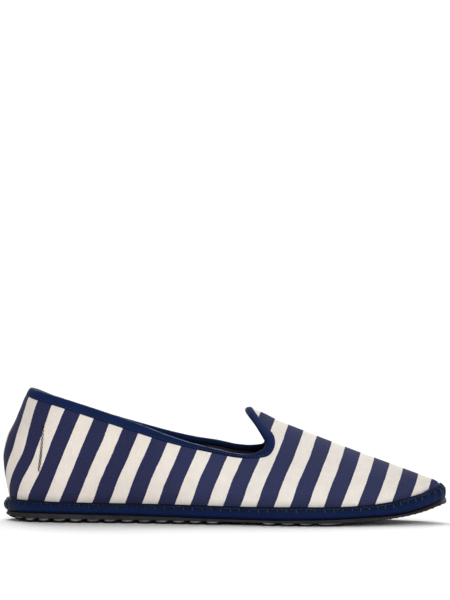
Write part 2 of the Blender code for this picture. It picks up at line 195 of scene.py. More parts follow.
# Lugs: rows of slanted blocks.  The first notch and the pitch are measured along the sole's edge.
LUG_ROOT = 0.6             # how deep a lug reaches into the slab
LUG_SHARE = 0.66           # length of a lug in its pitch, the rest is the notch
LUG_ROWS = (
    # notch, pitch, count, outer inset, inner inset, slant
    (0.0,    8.88,  5,     0.9,         11.0,        5.0),
    (44.4,   10.06, 10,    0.9,         12.5,        6.5),
    (168.2,  11.0,  3,     0.9,         13.5,        6.5),
    (199.3,  21.8,  1,     0.9,         9.0,         5.0),
    (44.4,   10.06, 10,    16.0,        26.5,       -6.5),
    (156.2,  11.0,  7,     17.0,        31.0,       -6.5),
)
HEEL_CURVE = (3.9, 17.0, 1.57)     # how high the tread rises at the back, where it begins, its power
SHOULDER = (0.36, 0.58)    # shares of a lug's height between which its shoulder slopes outwards
SHOULDER_REACH = 0.85      # how far the shoulder bulges outwards
LUG_LEAN = 1.5             # how far the top of a lug's outer end leans forwards

# How far the sole's rim hangs below its slab, between the lugs and at the toe.
RIM_DROPS = (
    # x,    drop
    (0.0,   0.7),
    (185.0, 0.6),
    (212.0, 0.55),
    (238.0, 0.35),
    (264.0, 0.3),
)

# How far three edges hang below their plain lines.
EDGE_SAG = (
    # x,    sole's underside, ribbon's foot, ribbon's top
    (0.0,   0.0,  0.1,  0.0),
    (52.0,  0.0,  0.15, 0.0),
    (70.0,  0.0,  0.2,  0.0),
    (93.0,  0.0,  0.4,  0.0),
    (116.0, 0.0,  0.7,  0.0),
    (140.0, 0.0,  0.75, 0.0),
    (163.0, 0.0,  0.7,  0.0),
    (181.0, 0.0,  0.2,  0.0),
    (200.0, 0.0,  0.0,  0.2),
    (216.0, 0.4,  0.15, 0.55),
    (229.0, 0.8,  0.95, 0.95),
    (241.0, 1.2,  1.45, 1.0),
    (252.0, 1.2,  1.4,  0.9),
    (258.0, 0.75, 1.15, 0.2),
    (264.0, 0.5,  0.7,  0.0),
)

# The tip of the sole: how far it stands out in front, and how far its edge stands up against the ribbon.
TOE_REACH = 0.65
TOE_LIP = (
    # x,    rise
    (0.0,   0.0),
    (234.0, 0.0),
    (245.0, 0.35),
    (256.0, 0.9),
    (264.0, 2.2),
)

# ---------------------------------------------------------------- how finely the pieces are made
STATIONS = 250             # stations from heel to toe, the same on both sides
OUTLINE_POINTS = 4000
CURVE_STEPS = 260
POINTS_AT_ONCE = 4000      # keeps the table of distances to the collar small
LOWER_ROWS = 44            # faces up the wall, to the collar or to the level of the throat
UPPER_ROWS = 26            # faces from there over the vamp to the ridge
RIBBON_SPAN = 170          # faces along each side of the collar
WELD = 2e-6                # vertices nearer than this, in metres, become one
THREAD_END = 0.45          # share of a thread's radius that its ends have
WALL_ROWS = 180            # faces up each half of the wall that the ribbon and the seam are laid on
HEEL_END = 30.0            # the collar's rows follow the wall's columns behind this place
HEEL_POINTS = 120          # points of the collar's line up to the throat, along which x still grows
HEEL_STEP = 1.1            # from the last of those columns to the ribbon's next point
RISE_SHARE = 0.7           # share of the collar's line before it can meet the ridge

# The stripes: their lean from upright, and how far they stand off an even pitch once the canvas is
# drawn over the last: by place along the shoe, and by height on its middle stretch and round the heel.
STRIPE_LEAN = math.radians(22.0)
STRIPE_SHIFT = (
    # (place, shift)
    (-60.0, -0.6), (-8.0, 0.8), (1.0, 2.1), (25.0, 2.1), (60.0, 1.35),
    (100.0, 0.95), (150.0, 0.62), (180.0, 0.85), (220.0, 1.95), (260.0, 2.6),
)
STRIPE_BOW = (
    # (height, shift)
    (8.0, 0.6), (15.0, 0.4), (24.0, 0.0), (30.0, 0.05), (40.0, 0.5), (60.0, 0.5),
)
HEEL_BULGE = (
    # (height, shift)
    (12.0, -1.0), (18.0, -1.2), (26.0, 0.0), (32.0, 1.6), (38.0, 2.9), (44.0, 3.5),
    (50.0, 3.1), (56.0, 1.9), (62.0, 0.6), (68.0, -0.5), (74.0, -1.3),
)
BOW_ZONE = (40.0, 60.0, 180.0, 205.0)    # where the bow begins, is whole, begins to end, and has ended
BULGE_ZONE = (12.0, 30.0)  # where the heel's bulge begins to end, and has ended
GIRTH_START = 45.0         # places are measured round the heel behind this x, and along x before it

# The seam behind the heel quarter, seen from the side.
HEEL_SEAM = (
    # x,    z
    (24.7,  57.0),
    (24.4,  52.6),
    (24.05, 47.5),
    (23.6,  42.0),
    (23.3,  38.3),
    (22.85, 34.7),
    (22.2,  30.2),
)
SEAM_TWIST = 2.4           # from one crossing of the seam's two threads to the next
SEAM_THREAD = 0.26         # radius of each thread
SEAM_SWING = (0.5, 0.24)   # how far the threads swing sideways, and in and out
SEAM_LIFT = 0.02           # how far their middle stands off the last
SEAM_STEPS = 24            # points of a thread for each row of the table
SEAM_JOG = 0.75            # how far the stripes are drawn aside where the seam joins them
SEAM_JOG_WIDTH = 2.4
SEAM_JOG_ZONE = (40.0, 48.0, 62.0, 70.0)  # heights where that begins, is whole, begins to end, has ended

# Soft creases of the canvas, pressed in along short lines: a negative depth is a ridge.
CREASES = (
    # side, x1,    z1,   x2,    z2,   width, depth
    (0,     158.0, 40.0, 170.0, 27.0, 3.4,   0.35),
    (0,     153.0, 36.5, 160.0, 24.0, 3.0,   -0.22),
    (0,     161.0, 55.0, 176.0, 43.0, 4.5,   0.22),
    (0,     128.0, 37.0, 133.0, 22.0, 4.2,   0.28),
    (0,     112.0, 40.0, 116.0, 22.0, 5.0,   -0.20),
    (0,     60.0,  52.0, 66.0,  24.0, 6.5,   0.30),
    (0,     80.0,  46.0, 84.0,  22.0, 6.0,   -0.22),
    (0,     38.0,  60.0, 33.0,  26.0, 6.0,   0.30),
    (0,     9.0,   40.0, 20.0,  38.0, 4.5,   0.45),
    (0,     6.0,   52.0, 17.0,  53.0, 5.0,   -0.35),
    (0,     14.0,  79.0, 12.0,  73.0, 5.0,   -0.85),
    (0,     12.5,  73.0, 9.5,   65.0, 4.0,   -0.5),
    (0,     2.5,   49.0, 1.0,   40.0, 5.0,   -0.5),
    (0,     196.0, 40.0, 205.0, 26.0, 5.0,   0.20),
    (0,     232.0, 26.0, 238.0, 17.0, 3.2,   0.22),
    (1,     159.0, 42.0, 172.0, 28.0, 3.6,   0.35),
    (1,     153.0, 38.0, 159.0, 24.0, 3.2,   -0.22),
    (1,     126.0, 39.0, 132.0, 23.0, 4.4,   0.30),
    (1,     108.0, 42.0, 111.0, 22.0, 5.0,   -0.22),
    (1,     64.0,  50.0, 60.0,  24.0, 6.5,   0.28),
    (1,     84.0,  46.0, 80.0,  22.0, 6.0,   -0.22),
    (1,     9.0,   41.0, 20.0,  39.0, 4.5,   0.45),
    (1,     14.0,  79.0, 12.0,  73.0, 5.0,   -0.85),
    (1,     12.5,  73.0, 9.5,   65.0, 4.0,   -0.5),
    (1,     2.5,   49.0, 1.0,   40.0, 5.0,   -0.5),
    (1,     206.0, 40.0, 214.0, 24.0, 5.0,   0.22),
)
CREASE_FOOT = (2.0, 8.0)   # heights above the seat between which the creases fade in
UNSHADED_TOE = 8.0            # the toe counts as this much farther above the edge, so the painted shade fades out there
UNSHADED_TOE_ZONE = (190.0, 240.0)


# ---------------------------------------------------------------- curves
def unit(vectors):
    """The same directions, one millimetre long."""
    return vectors / np.maximum(np.linalg.norm(vectors, axis=-1, keepdims=True), 1e-9)


def lengths_along(points):
    """Distance along a path up to each of its points."""
    steps = np.linalg.norm(np.diff(points, axis=0), axis=1)
    return np.concatenate([[0.0], np.cumsum(steps)])


def read_at(places, knots, points):
    """Points of a path of straight pieces, at the given places along its knots."""
    return np.stack([np.interp(places, knots, part) for part in np.asarray(points).T], axis=-1)


def tangents(knots, values):
    """Slopes at the knots for a smooth cubic through them."""
    steps = np.diff(knots)[:, None]
    slopes = np.diff(values, axis=0) / steps
    inner = (slopes[:-1] * steps[1:] + slopes[1:] * steps[:-1]) / (steps[:-1] + steps[1:])
    return np.vstack([slopes[:1], inner, slopes[-1:]])


def smooth_curve(knots, values, at):
    """Values of the smooth cubic through (knots, values), at any number of places."""
    knots = np.asarray(knots, float)
    values = np.asarray(values, float).reshape(len(knots), -1)
    slopes = tangents(knots, values)
    at = np.clip(np.atleast_1d(at), knots[0], knots[-1])
    span = np.clip(np.searchsorted(knots, at, side="right") - 1, 0, len(knots) - 2)
    step = (knots[span + 1] - knots[span])[:, None]
    t = ((at - knots[span])[:, None]) / step
    start, end = values[span], values[span + 1]
    leave, arrive = slopes[span] * step, slopes[span + 1] * step
    return ((2 * t**3 - 3 * t**2 + 1) * start + (t**3 - 2 * t**2 + t) * leave
            + (3 * t**2 - 2 * t**3) * end + (t**3 - t**2) * arrive)


def column(table, index, x):
    """One column of a table, read smoothly at x."""
    rows = np.asarray(table, float)
    flat = np.ravel(x)
    found = smooth_curve(rows[:, 0], rows[:, index], flat)[:, 0]
    return found.reshape(np.shape(x)) if np.ndim(x) else float(found[0])


def smooth_path(points, steps):
    """A smooth open path through the given points, with steps pieces between one and the next."""
    knots = lengths_along(points)
    places = np.interp(np.arange((len(points) - 1) * steps + 1) / steps, np.arange(len(points)), knots)
    return smooth_curve(knots, points, places)


def smooth_step(value, start=0.0, end=1.0):
    """0 up to start and 1 from end on, with a smooth rise between them."""
    share = np.clip((value - start) / (end - start), 0.0, 1.0)
    return share * share * (3 - 2 * share)


# ---------------------------------------------------------------- the sole's outline and heights
def outline_side(index):
    """Dense points of one side of the sole, heel to toe; the far side lends the ends their roundness."""
    other = 3 - index
    side = [(row[0], row[index]) for row in SOLE_OUTLINE]
    back = (SOLE_OUTLINE[0][0], SOLE_OUTLINE[0][other])
    front = (SOLE_OUTLINE[-1][0], SOLE_OUTLINE[-1][other])
    path = np.array([back, HEEL_TIP, *side, TOE_TIP, front])
    knots = lengths_along(path)
    return smooth_curve(knots, path, np.linspace(knots[1], knots[-2], OUTLINE_POINTS))


def outline_stations():
    """For each side, the station points of the sole's edge and their inward normals."""
    outer = outline_side(1)
    along = lengths_along(outer)
    places_x = np.interp(np.linspace(0.0, along[-1], STATIONS + 1), along, outer[:, 0])
    sides = []
    for index, inward in ((1, 1.0), (2, -1.0)):
        dense = outline_side(index)
        step = unit(np.gradient(dense, axis=0))
        normal = np.stack([-step[:, 1], step[:, 0]], axis=1) * inward
        counts = np.arange(len(dense))
        place = np.interp(places_x, dense[:, 0], counts)
        points, normals = read_at(place, counts, dense), read_at(place, counts, normal)
        points[0], points[-1] = HEEL_TIP, TOE_TIP
        normals[0], normals[-1] = (1.0, 0.0), (-1.0, 0.0)
        sides.append((points, normals))
    return sides


SIDES = outline_stations()


def edge_point(side, inset):
    """Station points of one side, moved inwards by inset, one value or one for each station."""
    points, normals = SIDES[side]
    return points + normals * np.broadcast_to(np.asarray(inset, float), (len(points),))[:, None]


def edge_loop(inset):
    """Closed loop of points round the sole: heel, outer side, toe, inner side."""
    amount = np.broadcast_to(np.asarray(inset, float), (STATIONS + 1,))
    return np.vstack([edge_point(0, amount), edge_point(1, amount)[-2:0:-1]])


def floor_height(x):
    """Underside of the lugs: flat under the foot, rising at the toe and at the back edge."""
    toe = np.clip((x - TOE_SPRING_START) / (LENGTH - TOE_SPRING_START), 0.0, None)
    heel = np.clip((HEEL_ROLL_START - x) / HEEL_ROLL_START, 0.0, None)
    return TOE_SPRING * toe**TOE_SPRING_POWER + HEEL_ROLL * heel**2


def slab_bottom(x):
    """Underside of the flat sole, where the lugs begin."""
    return floor_height(x) + column(SOLE_HEIGHTS, 2, x)


def ribbon_bottom(x):
    """Foot of the ribbon-bound edge, on the outsole."""
    return floor_height(np.maximum(x, HEEL_ROLL_START)) + column(SOLE_HEIGHTS, 1, x)


def ribbon_top(x):
    """Top of the ribbon-bound edge, against the canvas."""
    return ribbon_bottom(x) + column(SOLE_HEIGHTS, 3, x)


def seat(x):
    """Top of the midsole inside its rim, where upper and insole stand."""
    return ribbon_top(x) - RIM_HEIGHT


# ---------------------------------------------------------------- the last
def spine_points(x):
    """Where the half sections that start at x meet the ridge, and the ridge's slope there."""
    back, square = HEEL_FAN
    turn, lean = TOE_FAN
    heel_x = HEEL_TIP[0] + UPPER_INSET
    toe_x = TOE_TIP[0] - UPPER_INSET
    behind = np.clip((square - x) / (square - heel_x), 0.0, 1.0)
    ahead = np.clip((x - turn) / (toe_x - turn), 0.0, 1.0)
    spine_x = x + (back - heel_x) * behind**2 - lean * ahead**2
    slope = (column(RIDGE, 2, spine_x + 1.0) - column(RIDGE, 2, spine_x - 1.0)) / 2
    return np.column_stack([spine_x, column(RIDGE, 1, spine_x), column(RIDGE, 2, spine_x)]), slope


def half_sections(side):
    """Control points of every half section of one side: foot, flare handle, crown handle, ridge."""
    foot_xy = edge_point(side, UPPER_INSET)
    pair_x = (edge_point(0, UPPER_INSET)[:, 0] + edge_point(1, UPPER_INSET)[:, 0]) / 2
    spine, slope = spine_points(pair_x)
    reach = foot_xy - spine[:, :2]
    width = np.linalg.norm(reach, axis=1)
    outward = reach / width[:, None]
    flare, rise, crown, crown_drop = (column(SECTIONS, k, pair_x) for k in (1, 2, 3, 4))
    foot = np.column_stack([foot_xy, seat(foot_xy[:, 0])])
    flare_handle = foot + np.column_stack([outward * flare[:, None], rise])
    crown_rise = np.where(pair_x > HEEL_FAN[1], slope * outward[:, 0] * crown * width, 0.0)
    crown_handle = spine + np.column_stack([outward * (crown * width)[:, None], crown_rise - crown_drop])
    return np.stack([foot - unit(flare_handle - foot) * FOOT_DROP, flare_handle, crown_handle, spine], axis=1)


def bezier(controls, t):
    """Points of each section's cubic: t has one row for each section."""
    a, b, c, d = (controls[:, None, k] for k in range(4))
    t = np.asarray(t)[..., None]
    return (1 - t)**3 * a + 3 * (1 - t)**2 * t * b + 3 * (1 - t) * t**2 * c + t**3 * d


# ---------------------------------------------------------------- the collar
COLLAR = smooth_path(TOPLINE, COLLAR_STEPS)


def collar_line(side):
    """The collar seen from the side: points, directions into the wall and widths of ribbon."""
    line = np.column_stack([COLLAR[:, 0], COLLAR[:, 1] + (COLLAR[:, 2] if side else 0.0)])
    step = unit(np.gradient(line, axis=0))
    return line, np.column_stack([step[:, 1], -step[:, 0]]), COLLAR[:, 3]


def depth_below_collar(points, side):
    """For points of one side, how far below the collar's line they lie, and the ribbon's width there."""
    line, into_wall, width = collar_line(side)
    flat = points[..., [0, 2]].reshape(-1, 2)
    parts = []
    for part in np.array_split(flat, len(flat) // POINTS_AT_ONCE + 1):
        away = part[:, None] - line[None]
        nearest = np.argmin((away**2).sum(axis=2), axis=1)
        depth = (away[np.arange(len(nearest)), nearest] * into_wall[nearest]).sum(axis=1)
        parts.append(np.column_stack([depth, width[nearest]]))
    depth, ribbon = np.vstack(parts).T
    return depth.reshape(points.shape[:-1]), ribbon.reshape(points.shape[:-1])


def crossings(side, fixed, share):
    """Where each column passes the line that runs fixed millimetres plus a share of the ribbon's
    width below the collar: first on the way up, and last; a column that never does gets NaN."""
    controls = half_sections(side)
    t = np.linspace(0.0, 1.0, CURVE_STEPS)
    fine = bezier(controls, np.broadcast_to(t, (len(controls), len(t))))
    depth, ribbon = depth_below_collar(fine, side)
    level = depth - fixed - share * ribbon
    low, high = np.full(len(controls), np.nan), np.full(len(controls), np.nan)
    for k, row in enumerate(level):
        inside = np.flatnonzero(row < 0.0)
        if len(inside) == 0:
            continue
        first, last = inside[0], inside[-1]
        low[k] = t[first - 1] + (t[1] - t[0]) * row[first - 1] / (row[first - 1] - row[first])
        if last < len(t) - 1:
            high[k] = t[last] + (t[1] - t[0]) * row[last] / (row[last] - row[last + 1])
    return low, high


def to_world(points):
    """The tables' millimetres as metres in the frame."""
    return (np.asarray(points, float) - MIDDLE) * MM


# ---------------------------------------------------------------- meshes
def grid_faces(rows, columns, first=0, closed=False):
    """Faces of a grid of vertices numbered row by row; closed joins the last column to the first."""
    spans = columns if closed else columns - 1
    j, k = np.meshgrid(np.arange(rows - 1), np.arange(spans), indexing="ij")
    here, after = first + j * columns, first + (j + 1) * columns
    nxt = (k + 1) % columns
    return np.stack([here + k, here + nxt, after + nxt, after + k], axis=-1).reshape(-1, 4)


def new_piece(name, vertices, faces, cloth=None, weld=True):
    """A mesh object in the frame.  cloth gives each vertex its place on the flat material, in mm."""
    mesh = bpy.data.meshes.new(name)
    mesh.from_pydata(to_world(vertices).tolist(), [], [tuple(int(v) for v in face) for face in faces])
    if cloth is not None:
        layer = mesh.uv_layers.new(name="cloth")
        corners = np.empty(len(mesh.loops), np.int32)
        mesh.loops.foreach_get("vertex_index", corners)
        layer.data.foreach_set("uv", (np.asarray(cloth, float)[corners] * MM).astype(np.float32).ravel())
    if weld:
        shape = bmesh.new()
        shape.from_mesh(mesh)
        bmesh.ops.remove_doubles(shape, verts=shape.verts, dist=WELD)
        bmesh.ops.dissolve_degenerate(shape, edges=shape.edges, dist=WELD / 2)
        bmesh.ops.recalc_face_normals(shape, faces=shape.faces)
        shape.to_mesh(mesh)
        shape.free()
    made = bpy.data.objects.new(name, mesh)
    bpy.context.scene.collection.objects.link(made)
    mesh.shade_smooth()
    return made


def read_vertices(mesh, key="co"):
    """Places or normals of a mesh's vertices, in the frame."""
    found = np.empty(len(mesh.vertices) * 3)
    mesh.vertices.foreach_get(key, found)
    return found.reshape(-1, 3)


def select_only(*pieces):
    """Selects the given objects alone; the first becomes the active one."""
    bpy.ops.object.select_all(action="DESELECT")
    for piece in pieces:
        piece.select_set(True)
    bpy.context.view_layer.objects.active = pieces[0]


def apply_modifiers(piece):
    """Applies all modifiers of a piece, from the top."""
    select_only(piece)
    for step in list(piece.modifiers):
        bpy.ops.object.modifier_apply(modifier=step.name)
    piece.select_set(False)


def finish_piece(piece, material, slot, *nodes):
    """Gives the piece its material, unless it has its own, attaches it to the root body and hides the solids
    it stands in for; slot is not used.
    """
    if material:
        piece.data.materials.append(material)
    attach(piece, "root")
    if nodes:
        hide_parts(*nodes)


def tubes(paths, radius, sides=6):
    """One mesh of round threads along the given paths, each an array of points in mm."""
    vertices, faces, cloth = [], [], []
    turn = np.linspace(0.0, 2 * math.pi, sides, endpoint=False)
    first = 0
    for path in paths:
        path = np.asarray(path, float)
        along = unit(np.gradient(path, axis=0))
        # A thread that runs steeply is turned about another axis than one that lies flat.
        helper = np.where(np.abs(along[:, 2:3]) > 0.8, [[1.0, 0.0, 0.0]], [[0.0, 0.0, 1.0]])
        across = unit(np.cross(along, helper))
        up = np.cross(across, along)
        ring = across[:, None] * np.cos(turn)[None, :, None] + up[:, None] * np.sin(turn)[None, :, None]
        width = np.full(len(path), radius)
        width[0] = width[-1] = THREAD_END * radius
        vertices.append((path[:, None] + ring * width[:, None, None]).reshape(-1, 3))
        flat = np.broadcast_arrays(lengths_along(path)[:, None], turn[None] * radius)
        cloth.append(np.stack(flat, axis=-1).reshape(-1, 2))
        last = first + (len(path) - 1) * sides
        faces += grid_faces(len(path), sides, first, closed=True).tolist()
        faces += [[first + k for k in range(sides)][::-1], [last + k for k in range(sides)]]
        first += len(path) * sides
    return np.vstack(vertices), faces, np.vstack(cloth)


def ladder(base, stations):
    """Faces across a closed ring of points, from one side to the other."""
    faces = []
    for k in range(stations):
        corners = (k, k + 1, 2 * stations - k - 1, (2 * stations - k) % (2 * stations))
        faces.append([base + c for c in dict.fromkeys(corners)])
    return faces


def ring_faces(rings):
    """Faces of a closed form made of rings round the sole, with ladders over its two ends."""
    count, points = rings.shape[:2]
    sides = grid_faces(count, points, closed=True).tolist()
    return sides + ladder(0, points // 2) + ladder((count - 1) * points, points // 2)


def girth_across(rings):
    """Mean distance over a form, from its first ring up to each of the others."""
    steps = np.linalg.norm(np.diff(rings, axis=0), axis=2).mean(axis=1)
    return np.concatenate([[0.0], np.cumsum(steps)])


def sew(name, paths, radius, slot, thread, sides=6):
    """A piece made of round threads along the given paths."""
    finish_piece(new_piece(name, *tubes(paths, radius, sides), weld=False), thread, slot)


# ---------------------------------------------------------------- materials
def linear(code):
    """Linear colour of an sRGB hex code, with its alpha."""
    parts = [int(code[k:k + 2], 16) / 255 for k in (1, 3, 5)]
    return (*(p / 12.92 if p <= 0.04045 else ((p + 0.055) / 1.055)**2.4 for p in parts), 1.0)


def feed(tree, node, inputs):
    """Sets or links a node's inputs; each is a value, a node or one of a node's outputs.  A pair of
    names, such as FROM, takes a pair of values."""
    for name, value in inputs.items():
        if isinstance(name, tuple):
            feed(tree, node, dict(zip(name, value)))
            continue
        if isinstance(value, bpy.types.Node):
            value = next(output for output in value.outputs if not output.is_unavailable)
        if isinstance(value, bpy.types.NodeSocket):
            tree.links.new(value, node.inputs[name])
        else:
            node.inputs[name].default_value = value


def add_node(tree, kind, inputs=None, **settings):
    """Adds one node with its settings and links; stops are the places and colours of a ramp."""
    made = tree.nodes.new("ShaderNode" + kind)
    for name, value in settings.items():
        if name == "stops":
            ramp = made.color_ramp.elements
            while len(ramp) < len(value):
                ramp.new(1.0)
            for element, (place, code) in zip(ramp, value):
                element.position, element.color = place, linear(code)
        else:
            setattr(made, name, value)
    feed(tree, made, inputs or {})
    return made


def new_material(name, roughness, gloss):
    """An empty procedural material, with its node tree and shader; gloss is the specular level."""
    made = bpy.data.materials.new(name)
    made.use_nodes = True
    shader = made.node_tree.nodes["Principled BSDF"]
    feed(made.node_tree, shader, {"Roughness": roughness, "Specular IOR Level": gloss})
    return made, made.node_tree, shader


RIB = math.pi / 10         # a wave texture's scale for one rib in each unit of length
FROM = ("From Min", "From Max")
TO = ("To Min", "To Max")
COLOUR = {"data_type": "RGBA"}
TINT = {"data_type": "RGBA", "blend_type": "MULTIPLY"}


def object_place(tree):
    """Place along, across and up the shoe, in metres in the frame."""
    parts = add_node(tree, "SeparateXYZ", {0: add_node(tree, "TexCoord").outputs["Object"]})
    return parts.outputs[0], parts.outputs[1], parts.outputs[2]


def cloth_place(tree):
    """Place on the flat cloth in millimetres, as a vector and as its two parts."""
    place = add_node(tree, "UVMap", uv_map="cloth")
    scaled = add_node(tree, "VectorMath", {0: place, "Scale": 1 / MM}, operation="SCALE")
    parts = add_node(tree, "SeparateXYZ", {0: scaled})
    return scaled, parts.outputs[0], parts.outputs[1]


def plain_weave(tree, place, pitch):
    """Height of a plain weave, 0 to 1: threads of the given pitch pass over and under in turn."""
    warp = add_node(tree, "TexWave", {"Vector": place, "Scale": RIB / pitch}, bands_direction="X")
    weft = add_node(tree, "TexWave", {"Vector": place, "Scale": RIB / pitch}, bands_direction="Y")
    over = add_node(tree, "TexChecker", {"Vector": place, "Scale": 1 / pitch})
    return add_node(tree, "Mix", {"Factor": over.outputs["Fac"], "A": warp.outputs["Fac"],
                                  "B": weft.outputs["Fac"]})


# ---------------------------------------------------------------- settings
def colour_setting(name, description, code):
    """A colour in the panel, from its sRGB hex code."""
    return FloatVectorProperty(name=name, description=description, default=linear(code),
                               subtype="COLOR", size=4, min=0.0, max=1.0)


def length_setting(name, description, millimetres):
    """A length in the panel, kept in metres."""
    return FloatProperty(name=name, description=description, default=millimetres * MM, unit="LENGTH")


def strength_setting(name, description, default, most):
    """A plain number in the panel, from 0 up to the most that makes sense."""
    return FloatProperty(name=name, description=description, default=default, min=0.0, max=most)


class UpperSettings(bpy.types.PropertyGroup):
    """Sizes and colours of the striped canvas upper."""
    stripe_pitch: length_setting("Stripe pitch", "From one cream stripe to the next", 18.1)
    cream_width: length_setting("Cream width", "Width of a cream stripe", 8.5)
    stripe_start: length_setting("Stripe start", "Where the first cream stripe begins", 17.0)
    cream: colour_setting("Cream", "Colour of the cream stripes", "#EFE6DC")
    navy: colour_setting("Navy", "Colour of the navy stripes", "#292A48")
    lining: colour_setting("Lining", "Colour of the cotton lining", "#3A2D40")
    crease_depth: strength_setting("Crease depth", "Strength of the hand-placed creases", 1.0, 2.0)


class BindingSettings(bpy.types.PropertyGroup):
    """Sizes and colours of the folded ribbon round the collar."""
    rise: length_setting("Rise", "How far the folded ribbon stands off the canvas", 0.85)
    ribbon: colour_setting("Ribbon", "Colour of the collar ribbon", "#121F43")
    thread: colour_setting("Thread", "Colour of the thread along the ribbon's edge", "#3A4C78")
    stitch_pitch: length_setting("Stitch pitch", "From one seam stitch to the next", 2.4)


class EdgeSettings(bpy.types.PropertyGroup):
    """Sizes and colours of the ribbon-bound edge, its blanket stitch and the heel seam."""
    ribbon: colour_setting("Edge ribbon", "Colour of the ribbon round the midsole", "#0A142E")
    thread: colour_setting("Thread", "Colour of the sewing thread", "#50678A")
    seam_thread: colour_setting("Seam thread", "Colour of the thread of the heel seam", "#22242C")
    stitch_pitch: length_setting("Stitch pitch", "From one blanket stitch to the next", 5.6)
    stitch_leg: length_setting("Stitch leg", "Length of a blanket stitch's leg", 1.8)
    thread_size: length_setting("Thread size", "Diameter of the sewing thread", 0.34)


class SoleSettings(bpy.types.PropertyGroup):
    """Colours of the tread sole and of the sock inside the shoe."""
    cast: colour_setting("Toe cast", "Colour of the worn rubber at the toe", "#2A1A1B")
    sock: colour_setting("Sock cloth", "Colour of the cloth over the insole", "#262840")


class StageSettings(bpy.types.PropertyGroup):
    """Camera and light of the studio."""
    lens: FloatProperty(name="Lens", description="Focal length for a 36 mm sensor", default=211.2,
                        min=20.0, max=400.0, subtype="DISTANCE_CAMERA")
    roll: FloatProperty(name="Camera roll", description="Turn of the camera about its own axis",
                        default=math.radians(0.54), subtype="ANGLE")
    ceiling: strength_setting("Ceiling", "Brightness of the room straight above the shoe", 0.15, 3.0)
    back: strength_setting("Back light", "Strength of the soft light behind the shoe", 1.9, 10.0)
    low: strength_setting("Low back light", "Strength of the low soft light behind the shoe", 1.7, 10.0)
    fill: strength_setting("Fill", "Strength of the soft light in front of the shoe", 1.55, 10.0)
    floor: colour_setting("Floor", "Colour of the studio floor", "#F8F8F8")


SETTINGS = (
    ("slipper_upper", UpperSettings),
    ("slipper_binding", BindingSettings),
    ("slipper_edge", EdgeSettings),
    ("slipper_sole", SoleSettings),
    ("slipper_stage", StageSettings),
)


# ---------------------------------------------------------------- the canvas upper
def girth_place(points):
    """Place along the shoe of each point of one side's grid: x in front, arc length round the heel."""
    x = points[..., 0]
    place = x.copy()
    steps = np.linalg.norm(np.diff(points[..., :2], axis=0), axis=2)
    for k in range(int(np.argmax(x[:, 0] >= GIRTH_START)) - 1, -1, -1):
        place[k] = place[k + 1] - steps[k]
    return place


def between(value, begin, whole, leave, gone):
    """Rises from 0 to 1 between begin and whole, and falls back to 0 between leave and gone."""
    return smooth_step(value, begin, whole) * (1 - smooth_step(value, leave, gone))


def cloth_coordinates(points):
    """Across and along the stripes, in mm, for one side's grid."""
    place, z = girth_place(points), points[..., 2]
    shift = (column(STRIPE_SHIFT, 1, place) + column(STRIPE_BOW, 1, z) * between(place, *BOW_ZONE)
             + column(HEEL_BULGE, 1, z) * (1 - smooth_step(place, *BULGE_ZONE)))
    seam_x, seam_z = np.array(HEEL_SEAM[::-1]).T
    joined = np.exp(-((points[..., 0] - np.interp(z, seam_z, seam_x)) / SEAM_JOG_WIDTH)**2)
    shift += SEAM_JOG * joined * between(z, *SEAM_JOG_ZONE)
    across = place * math.cos(STRIPE_LEAN) - z * math.sin(STRIPE_LEAN) - shift
    up = np.zeros(z.shape)
    up[:, 1:] = np.cumsum(np.linalg.norm(np.diff(points, axis=1), axis=2), axis=1)
    return np.stack([across, up * math.cos(STRIPE_LEAN) + place * math.sin(STRIPE_LEAN)], axis=-1)


def wall_patches(side):
    """Grids of points on one side of the upper: up to the collar, and from there over the vamp."""
    controls = half_sections(side)
    low, high = crossings(side, GAP + BINDING_CLOTH, 0.0)
    vamp = int(np.flatnonzero(np.isfinite(high))[0])
    front = int(np.flatnonzero(np.isnan(low))[0])
    low[front:] = high[front:] = (low[front - 1] + high[front - 1]) / 2
    high[vamp - 1] = 1.0
    lower = bezier(controls, low[:, None] * np.linspace(0.0, 1.0, LOWER_ROWS + 1))
    part = slice(vamp - 1, None)
    across = np.linspace(0.0, 1.0, UPPER_ROWS + 1)
    return lower, bezier(controls[part], high[part, None] + (1.0 - high[part, None]) * across)


def crease_depths(points, side):
    """How far each point is pressed in by the creases of its side, in mm."""
    place = points[:, [0, 2]]
    total = np.zeros(len(points))
    for of_side, x1, z1, x2, z2, width, depth in CREASES:
        start, run = np.array([x1, z1]), np.array([x2 - x1, z2 - z1])
        share = np.clip(((place - start) @ run) / (run @ run), 0.0, 1.0)
        away = np.linalg.norm(place - start - share[:, None] * run, axis=1)
        total += np.where(side == of_side, depth * np.exp(-(away / width)**2), 0.0)
    return total


